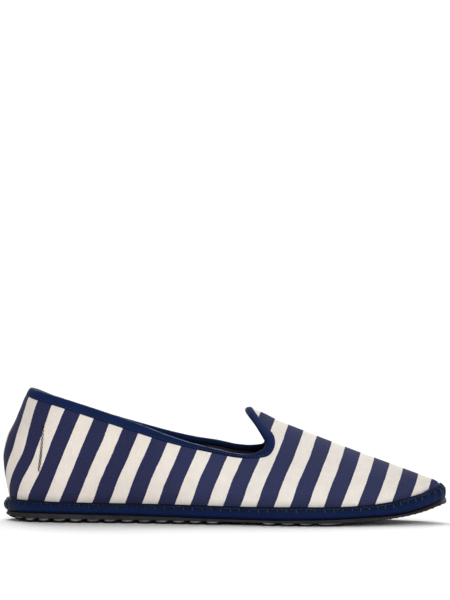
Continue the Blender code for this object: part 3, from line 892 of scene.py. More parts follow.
class SLIPPER_OT_canvas_upper(bpy.types.Operator):
    """Makes the striped canvas upper with its lining"""
    bl_idname = "slipper.canvas_upper"
    bl_label = "Canvas upper"

    def execute(self, context):
        settings = context.scene.slipper_upper
        vertices, cloth, faces = [], [], []
        first = 0
        for side in (0, 1):
            lower, over = wall_patches(side)
            lower_cloth = cloth_coordinates(lower)
            over_cloth = cloth_coordinates(over)
            skip = len(lower) - len(over)
            over_cloth[..., 1] += lower_cloth[skip:, -1:, 1] - over_cloth[:, :1, 1]
            for grid, flat in ((lower, lower_cloth), (over, over_cloth)):
                vertices.append(grid.reshape(-1, 3))
                cloth.append(flat.reshape(-1, 2))
                faces.append(grid_faces(*grid.shape[:2], first))
                first += len(vertices[-1])
        upper = new_piece("canvas_upper", np.vstack(vertices), np.vstack(faces), np.vstack(cloth))
        press_creases(upper, settings.crease_depth)
        wall = upper.modifiers.new("wall", "SOLIDIFY")
        wall.thickness = WALL * MM
        wall.offset = -1.0
        wall.use_even_offset = True
        wall.material_offset = 1
        for made in (canvas_material(settings), lining_material(settings)):
            upper.data.materials.append(made)
        apply_modifiers(upper)
        mark_height(upper)
        finish_piece(upper, None, "striped_canvas", "upper")
        return {"FINISHED"}


def press_creases(piece, strength):
    """Moves the vertices of a piece along their normals, by the creases of their side."""
    mesh = piece.data
    points, normals = read_vertices(mesh), read_vertices(mesh, "normal")
    local = points / MM + MIDDLE
    side = (local[:, 1] > column(RIDGE, 1, local[:, 0])).astype(int)
    depth = crease_depths(local, side) * strength * MM
    depth *= smooth_step(local[:, 2] - seat(local[:, 0]), *CREASE_FOOT)
    points -= normals * depth[:, None]
    mesh.vertices.foreach_set("co", points.ravel())
    mesh.update()


def mark_height(piece):
    """Stores how far each vertex lies above the ribbon-bound edge, in mm, for the painted shade near it."""
    local = read_vertices(piece.data) / MM + MIDDLE
    height = piece.data.attributes.new("above_edge", "FLOAT", "POINT")
    unshaded_toe = UNSHADED_TOE * smooth_step(local[:, 0], *UNSHADED_TOE_ZONE)
    height.data.foreach_set("value", local[:, 2] - ribbon_top(local[:, 0]) + unshaded_toe)


def canvas_material(settings):
    """Yarn-dyed cotton canvas, plain woven: matt, with a fine grain and slubs, softly faded in
    patches, with painted shade at the heel, at the toe and above the ribbon-bound edge, and with
    stripe edges that follow the threads."""
    made, tree, shader = new_material("yarn-dyed cotton canvas", 0.85, 0.06)
    add = partial(add_node, tree)
    place, across, _ = cloth_place(tree)
    start, pitch = settings.stripe_start / MM, settings.stripe_pitch / MM
    # Stripes whose edges are ragged by the threads and wander a little.
    fuzz = add("TexNoise", {"Vector": place, "Scale": 1.3, "Detail": 2.0})
    wander = add("TexNoise", {"Vector": place, "Scale": 0.09, "Detail": 1.0})
    rough = add("MapRange", {"Value": fuzz, TO: (-0.26, 0.26)})
    bent = add("MapRange", {"Value": wander, TO: (-0.35, 0.35)})
    moved = add("Math", {0: across, 1: rough}, operation="ADD")
    moved = add("Math", {0: moved, 1: bent}, operation="ADD")
    turns = add("MapRange", {"Value": moved, FROM: (start, start + pitch)}, clamp=False)
    share = add("Math", {0: turns}, operation="FRACT")
    cream_share = settings.cream_width / settings.stripe_pitch
    cream = add("Math", {0: share, 1: cream_share}, operation="LESS_THAN")
    # Threads of 0.62 mm, a little coarser than the real 0.5 mm, so that the grain still shows.
    weave = plain_weave(tree, place, 0.62)
    drawn = add("Mapping", {"Vector": place, "Scale": (2.2, 0.2, 1.0)})
    slubs = add("TexNoise", {"Vector": drawn, "Scale": 1.0, "Detail": 3.0})
    patches = add("TexNoise", {"Vector": place, "Scale": 0.11, "Detail": 4.0, "Roughness": 0.6})
    faded = add("MapRange", {"Value": patches, FROM: (0.35, 0.7)})
    yarn = add("TexNoise", {"Vector": place, "Scale": 1.7, "Detail": 3.0})
    specks = add("MapRange", {"Value": yarn, FROM: (0.46, 0.72), "To Max": 0.5})
    # Both colours are paler in front of the heel quarter; painted shade makes them a little darker at the
    # heel and the toe, where the canvas turns away from the light.
    x, _, _ = object_place(tree)
    front = add("MapRange", {"Value": x, FROM: (-0.055, -0.010)})
    pale = add("Mix", {"Factor": front, "A": settings.cream, "B": linear("#F5EEE5")}, **COLOUR)
    dark = add("Mix", {"Factor": front, "A": settings.navy, "B": linear("#343757")}, **COLOUR)
    fade_and_shade = add("MapRange", {"Value": faded, TO: (1.0, 0.93)})
    toe = add("MapRange", {"Value": x, FROM: (0.085, 0.110), TO: (1.0, 0.93)})
    heel = add("MapRange", {"Value": x, FROM: (-0.115, -0.090), "To Min": 0.92})
    ends = add("Math", {0: toe, 1: heel}, operation="MULTIPLY")
    fade_and_shade = add("Math", {0: fade_and_shade, 1: ends}, operation="MULTIPLY")
    dark = add("Mix", {"Factor": specks, "A": dark, "B": linear("#474E80")}, **COLOUR)
    # Painted shade above the ribbon-bound edge, 8 mm high on the navy and 4 mm on the cream.
    foot = add("Attribute", attribute_name="above_edge").outputs["Fac"]
    painted_edge_shade = add("MapRange", {"Value": foot, "From Max": 8.0, "To Min": 0.70})
    dark = add("Mix", {"Factor": 1.0, "A": dark, "B": painted_edge_shade}, **TINT)
    painted_edge_shade = add("MapRange", {"Value": foot, "From Max": 4.0, "To Min": 0.74})
    pale = add("Mix", {"Factor": 1.0, "A": pale, "B": painted_edge_shade}, **TINT)
    stripes = add("Mix", {"Factor": cream, "A": dark, "B": pale}, **COLOUR)
    grain = add("MapRange", {"Value": slubs, FROM: (0.3, 0.7), TO: (0.93, 1.04)})
    grain = add("Math", {0: grain, 1: fade_and_shade}, operation="MULTIPLY")
    shade = add("MapRange", {"Value": weave, TO: (0.90, 1.0)})
    tone = add("Math", {0: grain, 1: shade}, operation="MULTIPLY")
    colour = add("Mix", {"Factor": 1.0, "A": stripes, "B": tone}, **TINT)
    relief = add("Math", {0: slubs, 1: 0.7, 2: weave}, operation="MULTIPLY_ADD")
    bump = add("Bump", {"Height": relief, "Strength": 0.6, "Distance": 0.16 * MM})
    feed(tree, shader, {"Base Color": colour, "Normal": bump, "Sheen Weight": 0.03, "Sheen Roughness": 0.4})
    return made


def lining_material(settings):
    """Dark cotton twill lining: matt, with fine slanting ribs."""
    made, tree, shader = new_material("dark cotton twill lining", 0.92, 0.08)
    add = partial(add_node, tree)
    place, _, _ = cloth_place(tree)
    # Ribs of 0.9 mm, coarser than the real 0.5 mm, so that they show.
    ribs = add("TexWave", {"Vector": place, "Scale": RIB / 0.9}, bands_direction="DIAGONAL")
    wear = add("TexNoise", {"Vector": place, "Scale": 0.12, "Detail": 4.0})
    colour = add("Mix", {"Factor": wear, "A": settings.lining, "B": linear("#2E2C40")}, **COLOUR)
    bump = add("Bump", {"Height": ribs, "Strength": 0.6, "Distance": 0.15 * MM})
    feed(tree, shader, {"Base Color": colour, "Normal": bump})
    return made


# ---------------------------------------------------------------- the collar ribbon
def wall_tree(side):
    """The whole face of one side of the last, for finding a place on it."""
    controls = half_sections(side)
    points = bezier(controls, np.broadcast_to(np.linspace(0.0, 1.0, WALL_ROWS + 1),
                                              (len(controls), WALL_ROWS + 1)))
    faces = grid_faces(*points.shape[:2])
    return BVHTree.FromPolygons([Vector(p) for p in points.reshape(-1, 3)], faces.tolist())


def onto_wall(tree, side, x, z):
    """The point of one side of the last at x and z, seen from that side."""
    outwards = 1.0 if side else -1.0
    found = tree.ray_cast(Vector((x, 90.0 * outwards, z)), Vector((0.0, -outwards, 0.0)))[0]
    if found is None:
        raise RuntimeError(f"no wall at {x:.1f}, {z:.1f}")
    return np.array(found)


def collar_row(side, tree, fixed, share):
    """Points along one side of the collar, from the heel to the ridge, below the collar's line by
    fixed millimetres plus a share of the ribbon's width.  Also each point's place along the line."""
    controls = half_sections(side)
    low, _ = crossings(side, fixed, share)
    heel = int(np.argmax(controls[:, 0, 0] > HEEL_END))
    back = bezier(controls[:heel], low[:heel, None])[:, 0]
    line, into_wall, width = collar_line(side)
    moved = line + into_wall * (fixed + share * width)[:, None]
    along = lengths_along(line)
    heel_x, heel_along = moved[:HEEL_POINTS, 0], along[:HEEL_POINTS]
    start = np.interp(back[-1, 0] + HEEL_STEP, heel_x, heel_along)
    ridge_gap = column(RIDGE, 2, moved[:, 0]) - moved[:, 1]
    over = int(np.flatnonzero((ridge_gap < 0.0) & (along > along[-1] * RISE_SHARE))[0])
    part = ridge_gap[over - 1] / (ridge_gap[over - 1] - ridge_gap[over])
    end = along[over - 1] + part * (along[over] - along[over - 1])
    # The steps grow shorter towards the ridge, where the wall turns over.
    places = start + (end - start) * eased(np.linspace(0.0, 1.0, RIBBON_SPAN + 1))
    points = [onto_wall(tree, side, x, z) for x, z in read_at(places[:-1], along, moved)]
    x = float(np.interp(places[-1], along, moved[:, 0]))
    points.append(np.array([x, column(RIDGE, 1, x), column(RIDGE, 2, x)]))
    girth = lengths_along(back)
    back_along = np.interp(back[-1, 0], heel_x, heel_along) - (girth[-1] - girth)
    return np.vstack([back, points]), np.concatenate([back_along, places])


def eased(even):
    """Even steps that shrink over the last eighth."""
    tail = 0.125
    slow = np.clip(even - (1.0 - tail), 0.0, None)
    return (even - slow**2 / (2 * tail)) / (1.0 - tail / 2)


def ribbon_section(rise):
    """Section of the folded ribbon, from its outer edge over the fold to its inner edge: fixed
    millimetres and share of the ribbon's width below the collar, and height above the canvas."""
    deep, back, reach = FOLD_HEIGHT, -WALL, WALL / 2 + rise
    outer = [
        (0.0,        1.0, 0.02),
        (0.0,        1.0, 0.30),
        (-0.12,      1.0, 0.52),
        (-0.45,      1.0, rise * 0.9),
        (deep * 0.4, 0.6, rise * 1.2),
        (deep * 0.7, 0.3, rise * 1.25),
        (deep,       0.0, rise * 1.08),
    ]
    turn = np.radians(FOLD_TURNS)
    fold = [(deep * (1 - math.sin(a)), 0.0, back / 2 + reach * math.cos(a)) for a in turn]
    inner = [
        (deep,       0.0, back - rise),
        (0.85,       0.5, back - rise * 0.92),
        (-0.5,       1.0, back - 0.60),
        (0.0,        1.0, back - 0.45),
        (0.0,        1.0, back - 0.02),
    ]
    return outer + fold + inner


def closed_normals(rows):
    """Outward normals of a lattice of rows round the collar, whose first index goes down the wall."""
    around_collar = np.roll(rows, -1, axis=1) - np.roll(rows, 1, axis=1)
    return unit(np.cross(around_collar, np.gradient(rows, axis=0)))


def collar_lattice(section):
    """Rows of points on the last, round the whole collar, one for each point of the section."""
    trees = (wall_tree(0), wall_tree(1))
    rows, places, known = [], [], {}
    for fixed, share, _ in section:
        key = (round(fixed, 4), round(share, 4))
        if key not in known:
            outer, outer_place = collar_row(0, trees[0], fixed, share)
            inner, inner_place = collar_row(1, trees[1], fixed, share)
            loop = np.vstack([outer, inner[-2:0:-1]])
            place = np.concatenate([outer_place, 2 * outer_place[-1] - inner_place[-2:0:-1]])
            known[key] = (loop, place)
        rows.append(known[key][0])
        places.append(known[key][1])
    return np.array(rows), np.array(places)


def collar_normals():
    """Outward normals of the wall under the ribbon, all round the collar, a little smoothed."""
    rows, _ = collar_lattice([(0.0, 0.0, 0.0), (0.0, 0.5, 0.0), (0.0, 1.0, 0.0)])
    normal = closed_normals(rows)[1]
    for _ in range(3):
        normal = (np.roll(normal, 1, axis=0) + 2 * normal + np.roll(normal, -1, axis=0)) / 4
    normal = unit(normal)
    return -normal if normal[len(normal) // 4, 1] > 0 else normal


class SLIPPER_OT_collar_ribbon(bpy.types.Operator):
    """Makes the folded ribbon round the collar"""
    bl_idname = "slipper.collar_ribbon"
    bl_label = "Collar ribbon"

    def execute(self, context):
        settings = context.scene.slipper_binding
        section = ribbon_section(settings.rise / MM)
        normal = collar_normals()
        rows, places = collar_lattice(section)
        heights = np.array([height for _, _, height in section])[:, None]
        swell = sum(np.sin(places * 2 * math.pi / length) * RIPPLE_HEIGHT for length in RIBBON_RIPPLES)
        outside = heights > 0.1
        swell += HEEL_PROUD * smooth_step(rows[..., 0], HEEL_PROUD_END, 0.0) * outside
        grid = rows + normal[None] * (heights + np.sign(heights + WALL / 2) * swell)[..., None]
        across = girth_across(grid)
        cloth = np.stack([places, np.broadcast_to(across[:, None], places.shape)], axis=-1)
        count = grid.shape[1]
        faces = grid_faces(grid.shape[0], count, closed=True).tolist()
        last = (grid.shape[0] - 1) * count
        faces += [[last + k, last + (k + 1) % count, (k + 1) % count, k] for k in range(count)]
        ribbon = new_piece("collar_ribbon", grid.reshape(-1, 3), faces, cloth.reshape(-1, 2))
        crest = float(across[int(np.argmin([fixed + share for fixed, share, _ in section]))])
        finish_piece(ribbon, collar_ribbon_material(settings, crest), "navy_ribbon", "collar_binding")
        return {"FINISHED"}


class SLIPPER_OT_collar_stitches(bpy.types.Operator):
    """Sews the ribbon down with a row of small stitches near its lower edge"""
    bl_idname = "slipper.collar_stitches"
    bl_label = "Collar stitches"

    def execute(self, context):
        settings = context.scene.slipper_binding
        rows, _ = collar_lattice([(-STITCH_MARGIN, 1.0, 0.0)])
        normals = collar_normals()
        line = rows[0] + normals * settings.rise / MM * RIBBON_CROWN
        closed, out = np.vstack([line, line[:1]]), np.vstack([normals, normals[:1]])
        along = lengths_along(closed)
        count = round(along[-1] * MM / settings.stitch_pitch)
        shares, lifts = np.array(COLLAR_STITCH).T
        paths = []
        for start in np.arange(count) * along[-1] / count:
            places = start + shares * along[-1] / count
            paths.append(read_at(places, along, closed) + read_at(places, along, out) * lifts[:, None])
        thread = thread_material("blue cotton thread", settings.thread, "#1B2A50")
        sew("collar_stitches", paths, COLLAR_THREAD, "navy_ribbon", thread, sides=5)
        return {"FINISHED"}


def collar_ribbon_material(settings, crest):
    """Cotton grosgrain ribbon: close cross ribs, a dull surface, a stitched edge darkened with painted
    shade and a painted highlight along the crest of its fold."""
    made, tree, shader = new_material("cotton grosgrain ribbon", 0.7, 0.05)
    add = partial(add_node, tree)
    place, _, across = cloth_place(tree)
    # Ribs of 0.7 mm, coarser than the real 0.4 mm, so that they show.
    ribs = add("TexWave", {"Vector": place, "Scale": RIB / 0.7}, bands_direction="X")
    threads = add("TexNoise", {"Vector": place, "Scale": 1.1, "Detail": 4.0})
    wear = add("TexNoise", {"Vector": place, "Scale": 0.14, "Detail": 3.0})
    varied = add("MapRange", {"Value": wear, FROM: (0.35, 0.7)})
    colour = add("Mix", {"Factor": varied, "A": settings.ribbon, "B": linear("#11244E")}, **COLOUR)
    # The peak in front of the throat is greyer.
    x, _, z = object_place(tree)
    throat = add("MapRange", {"Value": x, FROM: (0.010, 0.020)})
    peak = add("MapRange", {"Value": z, FROM: (0.050, 0.062)})
    peak = add("Math", {0: peak, 1: throat}, operation="MULTIPLY")
    colour = add("Mix", {"Factor": peak, "A": colour, "B": linear("#1B2341")}, **COLOUR)
    # Painted highlight along the crest of the fold, where it catches the light from above; it fades towards
    # the heel and ends at the throat.
    away = add("Math", {0: across, 1: crest - 0.9}, operation="SUBTRACT")
    distance = add("Math", {0: away}, operation="ABSOLUTE")
    line = add("MapRange", {"Value": distance, FROM: (0.4, 1.0), TO: (0.9, 0.0)})
    patchy = add("MapRange", {"Value": wear, FROM: (0.3, 0.55)})
    before = add("MapRange", {"Value": x, FROM: (0.009, 0.015), TO: (1.0, 0.0)})
    behind = add("MapRange", {"Value": x, FROM: (-0.060, 0.0), "To Min": 0.2})
    seen = add("Math", {0: before, 1: behind}, operation="MULTIPLY")
    lightened = add("Math", {0: line, 1: patchy}, operation="MULTIPLY")
    lightened = add("Math", {0: lightened, 1: seen}, operation="MULTIPLY")
    colour = add("Mix", {"Factor": lightened, "A": colour, "B": linear("#8797B0")}, **COLOUR)
    # Painted shade: darker at the stitched edge and inside the shoe; also darker low in the throat. Painted
    # light and shade across the fold make it lighter on the peak's stitched side and darker towards the
    # crest.
    edge = add("MapRange", {"Value": across, FROM: (0.1, 0.9), "To Min": 0.7})
    inside = add("MapRange", {"Value": across, FROM: (crest + 0.6, crest + 2.6), TO: (1.0, 0.72)})
    edge = add("Math", {0: edge, 1: inside}, operation="MULTIPLY")
    low = add("MapRange", {"Value": z, FROM: (0.044, 0.055), "To Min": 0.72})
    edge = add("Math", {0: edge, 1: low}, operation="MULTIPLY")
    fold = add("MapRange", {"Value": across, FROM: (1.5, crest), TO: (1.35, 0.75)})
    fold = add("Mix", {"Factor": throat, "A": 1.0, "B": fold})
    lifted = add("Math", {0: peak, 1: 0.5, 2: 1.0}, operation="MULTIPLY_ADD")
    fold = add("Math", {0: fold, 1: lifted}, operation="MULTIPLY")
    edge = add("Math", {0: edge, 1: fold}, operation="MULTIPLY")
    fibre = add("Math", {0: threads, 1: 0.6, 2: ribs}, operation="MULTIPLY_ADD")
    shade = add("MapRange", {"Value": fibre, FROM: (0.1, 1.3), TO: (0.80, 1.12)})
    tone = add("Math", {0: shade, 1: edge}, operation="MULTIPLY")
    toned = add("Mix", {"Factor": 1.0, "A": colour, "B": tone}, **TINT)
    bump = add("Bump", {"Height": ribs, "Strength": 0.5, "Distance": 0.12 * MM})
    feed(tree, shader, {"Base Color": toned, "Normal": bump})
    return made


# ---------------------------------------------------------------- the ribbon-bound edge
BAND_SECTION = (
    # inset, share of the height, drop
    (2.2,    0.0,   0.0),
    (1.5,    0.0,   0.0),
    (0.85,   0.035, 0.0),
    (0.40,   0.11,  0.0),
    (0.10,   0.22,  0.0),
    (-0.04,  0.36,  0.0),
    (-0.06,  0.50,  0.0),
    (0.0,    0.62,  0.0),
    (0.16,   0.73,  0.0),
    (0.38,   0.80,  0.0),
    (0.68,   0.84,  0.0),
    (0.58,   0.88,  0.0),
    (0.66,   0.93,  0.0),
    (0.95,   0.985, 0.0),
    (1.40,   1.01,  0.0),
    (1.85,   1.0,   0.0),
    (2.25,   1.0,   0.35),
    (2.60,   1.0,   RIM_HEIGHT),
)
BAND_GROOVE = 10           # the row of the section that lies in the groove, under the stitches
GROOVE_SHARE = 0.84        # and its share of the band's height
GATHER_SHARES = (GROOVE_SHARE, 0.96)    # the rolled edge above the groove is gathered at heel and toe
BAND_TOE = (249.0, 259.0)  # where the gathers of the toe and of the heel begin and are whole
BAND_HEEL = (8.0, 1.0)
STITCH_PULL = (0.25, 0.15)    # how far a stitch draws the cloth in, and down
STITCH_GRIP = 0.2          # share of the height on either side of the groove that it draws in
BAND_LUMPS = (
    # height, number round the shoe, start
    (0.08, 31, 1.0),
    (0.06, 67, 0.0),
)
BAND_FINENESS = 3          # points of the band for each station of the sole


def around(values, count):
    """Values given at the stations of a closed ring, read at count even places."""
    closed = np.vstack([values, values[:1]])
    return read_at(np.arange(count) * len(values) / count, np.arange(len(closed)), closed)


def band_rings(pitch):
    """Closed rings of the ribbon-bound edge: gently lumpy, drawn in by each stitch, and gathered
    over the canvas at the tip of the toe.  Also the places round it and the number of stitches."""
    count = 2 * STATIONS * BAND_FINENESS
    flat = around(edge_loop(0.0), count)
    outward = unit(around(edge_loop(0.0) - edge_loop(1.0), count))
    along = lengths_along(np.vstack([flat, flat[:1]]))
    turn = 2 * math.pi * along[:-1] / along[-1]
    stitches = round(along[-1] / pitch)
    pull = (0.5 + 0.5 * np.cos(turn * stitches))**3
    lumps = sum(height * np.sin(turn * number + start) for height, number, start in BAND_LUMPS)
    toe = smooth_step(flat[:, 0], *BAND_TOE)
    heel = smooth_step(flat[:, 0], *BAND_HEEL)
    # The gathers bulge outwards and stand up at both ends of the shoe.
    ends = heel * (0.55 + 0.35 * np.sin(turn * 90)) + toe**3 * (0.3 + 0.35 * np.sin(turn * 80))
    raised = toe * (1.0 + 0.2 * np.sin(turn * 96)) + heel * (0.15 + 0.15 * np.sin(turn * 80))
    inwards, downwards = STITCH_PULL
    rings = []
    for inset, share, drop in BAND_SECTION:
        stitched = max(0.0, 1.0 - abs(share - GROOVE_SHARE) / STITCH_GRIP) if drop < 0.5 else 0.0
        body = math.sin(math.pi * share)
        gather = smooth_step(share, *GATHER_SHARES)
        moved = inset + inwards * pull * stitched - (lumps + ends) * body + toe * gather * 1.5
        ring = flat - outward * moved[:, None]
        x = ring[:, 0]
        low = ribbon_bottom(x) - column(EDGE_SAG, 2, x)
        high = ribbon_top(x) - column(EDGE_SAG, 3, x)
        z = low + share * (high - low) - drop - downwards * pull * stitched + gather * raised
        rings.append(np.column_stack([ring, z]))
    return np.array(rings), along, stitches


class SLIPPER_OT_bound_edge(bpy.types.Operator):
    """Makes the midsole with its ribbon-bound edge"""
    bl_idname = "slipper.bound_edge"
    bl_label = "Ribbon-bound edge"

    def execute(self, context):
        settings = context.scene.slipper_edge
        rings, along, _ = band_rings(settings.stitch_pitch / MM)
        across = girth_across(rings)
        cloth = np.stack(np.broadcast_arrays(along[None, :-1], across[:, None]), axis=-1)
        band = new_piece("bound_edge", rings.reshape(-1, 3), ring_faces(rings), cloth.reshape(-1, 2))
        material = edge_ribbon_material(settings, float(across[BAND_GROOVE]))
        finish_piece(band, material, "bound_cloth", "midsole")
        return {"FINISHED"}


def edge_ribbon_material(settings, groove):
    """Wide cotton satin ribbon drawn over the midsole: fine lengthwise threads, a painted satin
    highlight low on the side, painted shade at its foot and in the groove, and a darker rolled edge
    above the stitched groove."""
    made, tree, shader = new_material("cotton satin ribbon", 0.55, 0.06)
    add = partial(add_node, tree)
    place, _, across = cloth_place(tree)
    drawn = add("Mapping", {"Vector": place, "Scale": (0.22, 2.6, 1.0)})
    threads = add("TexNoise", {"Vector": drawn, "Scale": 1.0, "Detail": 3.0})
    # Cross ribs of 0.8 mm, coarser than the real 0.4 mm, so that they show.
    ribs = add("TexWave", {"Vector": place, "Scale": RIB / 0.8}, bands_direction="X")
    wear = add("TexNoise", {"Vector": place, "Scale": 0.10, "Detail": 4.0})
    # Tones up the side, from the foot of the ribbon to its groove, and the rolled edge above that: painted
    # shade at the foot and in the groove, and a painted satin highlight low on the side.
    height = add("Math", {0: across, 1: groove}, operation="DIVIDE")
    painted_sheen_and_shade = add("ValToRGB", {"Fac": height}, stops=(
        (0.0, "#080D20"), (0.30, "#081330"), (0.46, "#061D4A"), (0.62, "#071A40"), (0.82, "#071634"),
        (0.93, "#06122B"), (1.0, "#01030A")))
    x, _, _ = object_place(tree)
    toe = add("MapRange", {"Value": x, FROM: (0.105, 0.118)})
    roll = add("Mix", {"Factor": toe, "A": linear("#07142A"), "B": linear("#1B2348")}, **COLOUR)
    rolled = add("MapRange", {"Value": height, FROM: (1.02, 1.06)})
    body = add("Mix", {"Factor": rolled, "A": painted_sheen_and_shade, "B": roll}, **COLOUR)
    faded = add("MapRange", {"Value": wear, FROM: (0.4, 0.75), "To Max": 0.5})
    colour = add("Mix", {"Factor": faded, "A": body, "B": settings.ribbon}, **COLOUR)
    # Painted shade on the band at the back of the heel, where it turns away from the light.
    painted_heel_shade = add("MapRange", {"Value": x, FROM: (-0.1315, -0.1240), TO: (0.8, 0.0)})
    colour = add("Mix", {"Factor": painted_heel_shade, "A": colour, "B": linear("#04080E")}, **COLOUR)
    fibre = add("Math", {0: ribs, 1: 0.25, 2: threads}, operation="MULTIPLY_ADD")
    shade = add("MapRange", {"Value": fibre, FROM: (0.35, 0.85), TO: (0.80, 1.15)})
    toned = add("Mix", {"Factor": 1.0, "A": colour, "B": shade}, **TINT)
    bump = add("Bump", {"Height": fibre, "Strength": 0.5, "Distance": 0.15 * MM})
    feed(tree, shader, {"Base Color": toned, "Normal": bump})
    return made


def thread_material(name, colour, shadow):
    """Twisted cotton thread: two plies that turn round each other, with a dull wax, and darker
    towards the heel."""
    made, tree, shader = new_material(name, 0.6, 0.2)
    add = partial(add_node, tree)
    place, _, _ = cloth_place(tree)
    ply = add("TexWave", {"Vector": place, "Scale": RIB / 0.7}, bands_direction="DIAGONAL")
    mixed = add("Mix", {"Factor": ply, "A": linear(shadow), "B": colour}, **COLOUR)
    x, _, _ = object_place(tree)
    heelward_dark = add("MapRange", {"Value": x, FROM: (-0.05, 0.03), "To Min": 0.5})
    darkened = add("Mix", {"Factor": 1.0, "A": mixed, "B": heelward_dark}, **TINT)
    bump = add("Bump", {"Height": ply, "Strength": 0.6, "Distance": 0.1 * MM})
    feed(tree, shader, {"Base Color": darkened, "Normal": bump})
    return made


def groove_places(rings, along):
    """A function that gives points on the ribbon-bound edge, for the threads of its stitches."""
    # Rings from two above the groove down to the foot of the ribbon, and the mean distance down them.
    closed = np.concatenate([rings, rings[:, :1]], axis=1)[BAND_GROOVE + 2::-1]
    fall = lengths_along(closed.mean(axis=1))
    middle = closed.mean(axis=(0, 1))

    def on_edge(place, depth, lift):
        """Place round the edge, depth below the groove and lift off the ribbon, in mm."""
        step = np.interp(place % along[-1], along, np.arange(len(along)))
        k = min(int(step), closed.shape[1] - 2)
        line = closed[:, k] + (closed[:, k + 1] - closed[:, k]) * (step - k)
        above, here, below = read_at(fall[2] + depth + np.array([-0.3, 0.0, 0.3]), fall, line)
        out = unit(np.cross(closed[0, k + 1] - closed[0, k], below - above))
        return here + out * (lift if out @ (here - middle) > 0 else -lift)

    return on_edge


STITCH_LEG = (
    # share of the leg, lift in threads
    (0.0,   0.1),
    (0.3,   0.42),
    (0.7,   0.36),
    (1.0,   -0.2),
)
STITCH_ABOVE = 0.1         # the thread in the groove lies this far above its middle


class SLIPPER_OT_edge_stitches(bpy.types.Operator):
    """Sews the blanket stitch along the ribbon-bound edge"""
    bl_idname = "slipper.edge_stitches"
    bl_label = "Blanket stitch"

    def execute(self, context):
        settings = context.scene.slipper_edge
        rings, along, count = band_rings(settings.stitch_pitch / MM)
        on_edge = groove_places(rings, along)
        size = settings.thread_size / MM
        leg = settings.stitch_leg / MM
        step = along[-1] / count
        paths = []
        for k in range(count):
            # No two legs lean and reach alike, and no two runs between them lie equally loose.
            place = k * step
            lean = 0.33 * math.sin(k * 2.39)
            reach = leg * (1.0 + 0.22 * math.sin(k * 1.7 + 0.6))
            paths.append([on_edge(place + lean * share, reach * share - STITCH_ABOVE, size * lift)
                          for share, lift in STITCH_LEG])
            loose = 0.5 + 0.5 * math.sin(k * 2.2)
            paths.append([on_edge(place + step * share, 0.2 * math.sin(math.pi * share) - STITCH_ABOVE,
                                  size * (0.1 * loose - 0.42)) for share in np.linspace(0.0, 1.0, 6)])
        thread = thread_material("waxed cotton thread", settings.thread, "#33435F")
        sew("edge_stitches", paths, size / 2, "bound_cloth", thread)
        return {"FINISHED"}


# ---------------------------------------------------------------- the heel seam
class SLIPPER_OT_heel_seam(bpy.types.Operator):
    """Sews the twisted thread down the seam behind the heel quarter, on both sides"""
    bl_idname = "slipper.heel_seam"
    bl_label = "Heel seam"

    def execute(self, context):
        settings = context.scene.slipper_edge
        path = smooth_path(HEEL_SEAM, SEAM_STEPS)
        sideways, inwards = SEAM_SWING
        paths = []
        for side in (0, 1):
            tree = wall_tree(side)
            points = np.array([onto_wall(tree, side, x, z) for x, z in path])
            down = unit(np.gradient(points, axis=0))
            out = unit(np.cross(down, [1.0, 0.0, 0.0]))
            out *= np.sign(out[0, 1]) * (1 if side else -1)
            across = np.cross(out, down)
            for shift in (0.0, math.pi):
                turn = lengths_along(points) * math.pi / SEAM_TWIST + shift
                paths.append(points + across * (sideways * np.sin(turn))[:, None]
                             + out * (SEAM_LIFT + inwards * np.cos(turn))[:, None])
        thread = thread_material("dark linen thread", settings.seam_thread, "#060709")
        sew("heel_seam", paths, SEAM_THREAD, "striped_canvas", thread)
        return {"FINISHED"}


# ---------------------------------------------------------------- the sock
SOCK_EDGE = (
    # extra inset, height
    (0.25, 0.0),
    (0.0,  0.3),
    (0.0,  INSOLE_THICKNESS - 0.7),
    (0.2,  INSOLE_THICKNESS - 0.3),
)
SOCK_DISH = 0.35           # how far the sock is trodden down in its middle
SOCK_DISH_END = (230.0, 190.0)


class SLIPPER_OT_sock(bpy.types.Operator):
    """Makes the cloth-covered insole"""
    bl_idname = "slipper.sock"
    bl_label = "Sock"

    def execute(self, context):
        settings = context.scene.slipper_sole
        inset = INSOLE_INSET + INSOLE_TOE_INSET * smooth_step(SIDES[0][0][:, 0], *INSOLE_TOE)
        rows = []
        for extra, rise in SOCK_EDGE:
            loop = edge_loop(inset + extra)
            rows.append(np.column_stack([loop, seat(loop[:, 0]) + GAP + rise]))
        outer, inner = edge_point(0, inset + 0.2), edge_point(1, inset + 0.2)
        middle = (outer + inner) / 2
        for share in (0.12, 0.3, 0.5, 0.7, 0.88):
            loop = np.vstack([outer + (middle - outer) * share, (inner + (middle - inner) * share)[-2:0:-1]])
            dish = SOCK_DISH * smooth_step(share, 0.0, 0.5) * smooth_step(loop[:, 0], *SOCK_DISH_END)
            rows.append(np.column_stack([loop, seat(loop[:, 0]) + GAP + INSOLE_THICKNESS - dish]))
        rows = np.array(rows)
        sock = new_piece("sock", rows.reshape(-1, 3), ring_faces(rows), rows[..., :2].reshape(-1, 2))
        finish_piece(sock, sock_material(settings), "sock_cloth", "insole")
        return {"FINISHED"}


def sock_material(settings):
    """Brushed cotton sock cloth over thin felt: matt, softly mottled, with a coarse weave."""
    made, tree, shader = new_material("brushed cotton sock cloth", 0.95, 0.1)
    add = partial(add_node, tree)
    place, _, _ = cloth_place(tree)
    weave = plain_weave(tree, place, 0.9)
    nap = add("TexNoise", {"Vector": place, "Scale": 0.5, "Detail": 5.0})
    colour = add("Mix", {"Factor": nap, "A": settings.sock, "B": linear("#2E3250")}, **COLOUR)
    relief = add("Math", {0: weave, 1: nap}, operation="ADD")
    bump = add("Bump", {"Height": relief, "Strength": 0.5, "Distance": 0.2 * MM})
    feed(tree, shader, {"Base Color": colour, "Normal": bump, "Sheen Weight": 0.1})
    return made


